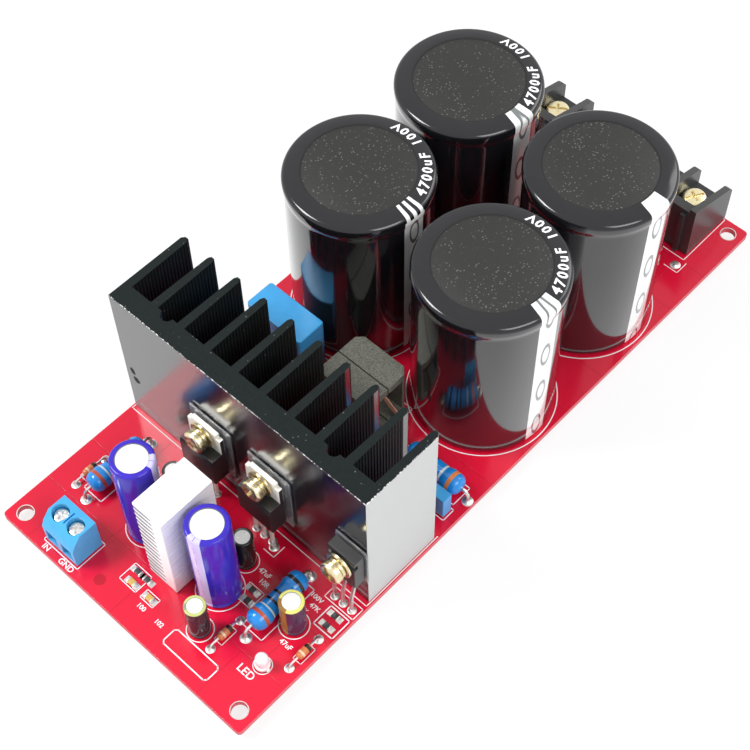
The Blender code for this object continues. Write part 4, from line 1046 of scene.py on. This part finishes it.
OFF_BOARD = above(SEAT - 0.1)
SOFTENED = {
    "barrier_housing_left": (0.22, MOULDING, "black_moulding"),
    "barrier_housing_right": (0.22, MOULDING, "black_moulding"),
    "input_terminal_housing": (0.16, BLUE_MOULDING, "blue_moulding"),
    "core_front": (0.25, FERRITE, "ferrite"),
    "core_back": (0.25, FERRITE, "ferrite"),
}
for node, (width, material, slot) in SOFTENED.items():
    piece = solid_copy(node)
    if node == "input_terminal_housing":
        groove_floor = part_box(node)[1].z * 1000 - 0.6
        piece = carved(piece, block((17.41, 5.4, groove_floor), (17.77, 8.7, 20.0)))
    piece = rounded(piece, width, OFF_BOARD)
    done(piece, node + "_moulded", "board", material, [node], flat=True)
for node, width in (("film_capacitor_large", 0.35), ("film_capacitor_small", 0.15)):
    piece = rounded(solid_copy(node), width, OFF_BOARD, 3)
    painted(piece, in_board, BLUE_CASE, TIN)
    done(piece, node + "_case", "board", nodes=[node], flat=True)
comb = rounded(solid_copy("comb_heatsink"), 0.10, OFF_BOARD, 1)
done(comb, "comb_heatsink_bright", "board", COMB, ["comb_heatsink"], flat=True)
for node in ("power_transistor_1", "power_transistor_2"):
    piece = rounded(solid_copy(node), 0.14, above(PACKAGE_FOOT - 0.85))
    # Black package, with tab and legs in pale tin that carries a painted sheen
    painted(piece, lambda centre: int(not PACKAGE_FOOT <= centre.z <= PACKAGE_SHELF), PACKAGE, TAB_AND_SHEEN)
    done(piece, node + "_case", "board", nodes=[node], flat=True)
piece = rounded(solid_copy("driver_transistor"), 0.12, above(DRIVER_FOOT - 0.95))
painted(piece, lambda centre: int(centre.z < DRIVER_FOOT), PACKAGE, TIN)
done(piece, "driver_transistor_case", "board", nodes=["driver_transistor"],
     flat=True)
web_back, tips = 46.0, SINK_TOP - 0.5
sink = rounded(
    solid_copy("main_heatsink"), 0.16, lambda middle: middle.y < web_back or middle.z > tips
)
done(sink, "main_heatsink_anodised", "board", ANODISED, ["main_heatsink"],
     flat=True)


# Surface-mount chips, fitted over the solid ones on the board

# Middle, width, height above the board and body of each
CHIPS = (
    (33.7, 11.0, 1.2, 0.5, CHIP_DARK),
    (36.8, 11.0, 1.2, 0.5, CHIP_DARK),
    (34.7, 8.3, 1.3, 0.8, CHIP_TAN),
    (40.4, 8.3, 1.3, 0.8, CHIP_TAN),
    (73.5, 30.0, 1.2, 0.5, CHIP_DARK),
    (73.3, 32.9, 1.2, 0.5, CHIP_DARK),
    (55.6, 25.1, 1.2, 0.5, CHIP_DARK),
    (56.6, 22.6, 1.2, 0.5, CHIP_DARK),
)
# From a chip's middle to the end of its body, to both ends of a cap and to a land's middle
BODY_END, CAP_NEAR, CAP_FAR, LAND_MIDDLE = 0.72, 0.66, 1.06, 1.35
for number, (x, y, width, height, material) in enumerate(CHIPS, 1):
    half, top = width / 2 + 0.04, TOP + height
    pieces = [
        block((x - BODY_END, y - half, TOP + 0.02), (x + BODY_END, y + half, top + 0.05), 0.05)
    ]
    for sign in (-1, 1):
        low_x, high_x = sorted((x + sign * CAP_NEAR, x + sign * CAP_FAR))
        low = (low_x, y - half - 0.02, TOP + 0.01)
        pieces.append(block(low, (high_x, y + half + 0.02, top + 0.08), 0.06))
    chip = joined(pieces)
    painted(chip, lambda centre: int(abs(centre.x - x) > 0.70), material, SOLDER)
    done(chip, "surface_chip_%d" % number, "board")


# Pads and solder


def solder_joint(x, y, radius, lead=0.45, height=0.55):
    """A cone round the end of a lead, on its ring."""
    profile = [(radius + 0.12, TOP + 0.01), (radius + 0.12, TOP + 0.05), (radius, TOP + 0.07)]
    profile += [(radius * 0.82, TOP + 0.16), (lead + 0.22, TOP + height * 0.6)]
    profile += [(lead, TOP + height)]
    return turned(profile, (x, y, 0), 24)


def land(x, y, length, width):
    """A flat pad under a chip's cap."""
    low = (x - length / 2, y - width / 2, TOP + 0.005)
    return block(low, (x + length / 2, y + width / 2, TOP + 0.06), 0.02, 1)


joints = []
for x, y, axis in RESISTORS.values():
    for reach in (-RESISTOR_REACH, RESISTOR_REACH):
        spot = (x + reach, y) if axis == "X" else (x, y + reach)
        joints.append(solder_joint(*spot, 1.25))
for x, y in DIODES.values():
    joints += [solder_joint(x, y + DIODE_REACH * sign, 1.0, 0.35) for sign in (-1, 1)]
for x, y, lead in TRANSISTOR_LEADS:
    joints += [solder_joint(x + LEAD_PITCH * step, y, 0.95, lead) for step in (-1, 0, 1)]
x, y = INDICATOR
joints += [solder_joint(x + LEAD_PITCH / 2 * sign, y, 0.6, 0.35, 0.3) for sign in (-1, 1)]
joints += [solder_joint(51.5, 35.9, 1.1, 0.5, 0.7), solder_joint(69.4, 160.3, 1.2, 0.5, 0.6)]
for x, y, width, height, material in CHIPS:
    joints += [land(x + LAND_MIDDLE * sign, y, 1.3, width + 0.3) for sign in (-1, 1)]
done(joined(joints), "solder_joints", "board", SOLDER)
rings = [
    flat_ring((x, y, TOP + 0.005), 1.9, 2.10, 0.04, 48)
    for x in (HOLE_INSET, WIDTH - HOLE_INSET)
    for y in (HOLE_INSET, LENGTH - HOLE_INSET)
]
done(joined(rings), "mounting_rings", "board", SOLDER)


# Print on the board


def ink_line(points, width=LINE):
    made = []
    for (x0, y0), (x1, y1) in zip(points, points[1:]):
        length = math.hypot(x1 - x0, y1 - y0) + width
        bar = block((-length / 2, -width / 2, 0.003), (length / 2, width / 2, PRINT))
        bar.rotation_euler = (0, 0, math.atan2(y1 - y0, x1 - x0))
        bar.location = ((x0 + x1) / 2, (y0 + y1) / 2, TOP)
        made.append(applied(bar))
    return made


def ink_box(left, front, right, back, width=LINE):
    corners = [(left, front), (right, front), (right, back), (left, back), (left, front)]
    return ink_line(corners, width)


def ink_ring(x, y, radius, width=LINE):
    return [flat_ring((x, y, TOP + 0.003), radius, radius + width, PRINT, 72)]


# Printed boxes: left, front, right, back and width of the line
BOXES = (
    (11.9, 2.2, 23.2, 10.6, LINE),  # input terminal
    (7.2, 71.4, 25.6, 80.5, LINE),  # large film capacitor
    (66.8, 66.5, 74.8, 70.1, LINE),  # small film capacitor
    (32.9, 68.9, 49.7, 83.9, LINE),  # inductor
    (13.9, 163.0, 35.5, 180.6, LINE),  # barrier terminals
    (48.4, 163.0, 70.0, 180.6, LINE),
    (70.8, 28.6, 76.4, 34.2, 0.28),  # two chips in front of the driver transistor
    (68.1, 34.9, 76.6, 38.2, LINE),  # driver transistor
    (53.7, 21.6, 58.2, 26.2, 0.2),  # the other chips
    (31.6, 7.2, 36.9, 12.2, 0.2),
    (38.4, 7.2, 42.4, 9.6, 0.2),
)
OPEN_LINES = (
    ((1.0, 39.3), (76.6, 39.3), (76.6, 62.6)),  # heatsink
    ((0.5, 39.3), (0.5, 62.6)),
    ((67.2, 158.6), (71.2, 158.6), (71.2, 162.4)),  # corners beside two single pads
    ((50.1, 34.0), (53.2, 34.0), (53.2, 37.4)),
)
# A bare plate with cut corners
PLATE = (
    (50.4, 3.2), (62.8, 3.2), (63.4, 3.8), (63.4, 6.9), (62.8, 7.5), (50.4, 7.5), (49.8, 6.9),
    (49.8, 3.8), (50.4, 3.2),
)
# Printed words: middle and size
WORDS = (
    ("IN", 13.9, 1.15, 2.0),
    ("GND", 20.6, 1.15, 2.0),
    ("LED", 68.2, 10.6, 2.6),
    ("47uF", 54.6, 29.9, 1.7),
    ("10R", 56.2, 28.0, 1.7),
    ("47uF", 70.0, 20.9, 1.7),
    ("100V", 67.2, 33.4, 1.6),
    ("47K", 68.5, 31.4, 1.6),
    ("47K", 66.8, 29.4, 1.6),
    ("100", 40.5, 5.7, 1.6),
    ("102", 46.2, 5.7, 1.6),
    ("10R", 7.5, 30.0, 1.6),
)
ink = []
for points in OPEN_LINES:
    ink += ink_line(points)
for x, y in CAN_PLACES.values():
    ink += ink_ring(x, y, 17.9, 0.25)
for x, y, radius, height in SMALL_CANS.values():
    ink += ink_ring(x, y, radius + 0.45)
for x, y in SLIM_PLACES.values():
    ink += ink_ring(x, y, 5.4)
for x, y, axis in RESISTORS.values():
    half_x, half_y = (8.2, 2.9) if axis == "X" else (2.9, 8.2)
    ink += ink_box(x - half_x, y - half_y, x + half_x, y + half_y)
for x, y in DIODES.values():
    ink += ink_box(x - 1.15, y - 2.3, x + 1.15, y + 2.3, 0.18)
ink += ink_ring(*INDICATOR, 2.0, 0.2)
for box in BOXES:
    ink += ink_box(*box)
ink += ink_line(PLATE, 0.3)
for word, x, y, size in WORDS:
    ink.append(placed(lettering(word, size, PRINT, 0.03, 3), (x, y, TOP + 0.012)))
done(joined(ink), "board_print", "board", INK, smooth=0)


# The solids that stay as packed, by the material that they were packed with

KEPT = {
    "red_solder_mask": RED_MASK,
    "black_sleeve": MOULDING,
    "black_anodised": ANODISED,
    "bare_aluminium": COMB,
    "black_moulding": MOULDING,
    "insulating_film": FILM,
    "zinc_plated_steel": ZINC,
    "tinned_brass": NICKEL,
    "violet_sleeve": MOULDING,
    "dark_sleeve": MOULDING,
    "blue_lacquer": BLUE_CASE,
    "diode_glass": RESIN,
    "clear_resin": RESIN,
    "blue_moulding": BLUE_MOULDING,
    "blue_case": BLUE_CASE,
    "ferrite": FERRITE,
    "enamelled_copper": COPPER,
}
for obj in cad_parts.values():
    for holder in obj.material_slots:
        holder.material = KEPT[holder.material.name.split(".")[0]]


# Floor, light and camera

# Side of the floor in metres, and the range in millimetres over which it fades to white
FLOOR_SIDE, FADE = 6.0, (300.0, 900.0)
# Place and size in metres, and power in watts
LAMPS = {
    "key": ((-0.52, -0.42, 0.80), (0.36, 0.36), 9.0),
    "fill": ((0.65, -0.10, 0.62), (0.5, 0.4), 4.2),
    "back": ((0.25, 0.75, 0.60), (0.6, 0.4), 3.0),
}
LIT_POINT = (0.0, 0.0, 0.02)
# Camera: its place in metres, its turns in degrees and the order in which they follow
CAMERA_PLACE, LENS = (0.142926, -0.155908, 0.317655), 75.416
CAMERA_TURNS = (("Z", 42.597), ("X", 33.616), ("Y", 0.738))


def stage():
    """A pale floor that takes the shadow and fades to white far off."""
    start()
    bpy.ops.mesh.primitive_plane_add(size=FLOOR_SIDE)
    floor = bpy.context.object
    floor.name = "floor"
    finish = Finish("pale_floor", Base_Color=(0.90, 0.90, 0.91, 1.0), Roughness=0.9)
    away = length_of(finish.x, finish.y)
    share = finish.looked_at() * (0.80 + 0.20 * away.step(*FADE))
    glow = finish.node("Emission", None, {"Color": (1.0, 1.0, 1.0, 1.0)})
    floor.data.materials.append(finish.covered(share, glow).material)


def sky():
    """A plain soft light from all round, seen as white."""
    world = bpy.data.worlds.new("studio")
    bpy.context.scene.world = world
    world.use_nodes = True
    world.node_tree.nodes.clear()
    nodes = Nodes(world.node_tree)
    light, white = (
        nodes.node("Background", None, {"Color": colour, "Strength": strength})
        for colour, strength in (((0.96, 0.98, 1.0, 1.0), 0.55), ((1.0, 1.0, 1.0, 1.0), 1.0))
    )
    output = world.node_tree.nodes.new("ShaderNodeOutputWorld")
    nodes.blend(nodes.looked_at(), light, white, output.inputs["Surface"])


def lamp(name, place, size, power):
    data = bpy.data.lights.new(name, "AREA")
    data.shape = "RECTANGLE"
    data.size, data.size_y = size
    data.energy = power
    towards = (Vector(LIT_POINT) - Vector(place)).to_track_quat("-Z", "Y")
    matrix = Matrix.Translation(place) @ towards.to_matrix().to_4x4()
    linked(name, data).matrix_world = matrix


def camera():
    data = bpy.data.cameras.new("camera")
    data.lens = LENS
    data.sensor_width = 36.0
    data.clip_start = 0.01
    matrix = Matrix.Translation(CAMERA_PLACE)
    for axis, degrees in CAMERA_TURNS:
        matrix = matrix @ Matrix.Rotation(math.radians(degrees), 4, axis)
    bpy.context.scene.camera = linked("camera", data)
    bpy.context.scene.camera.matrix_world = matrix


stage()
sky()
for name, (place, size, power) in LAMPS.items():
    lamp(name, place, size, power)
camera()
bpy.context.scene.view_settings.view_transform = "Standard"

start()
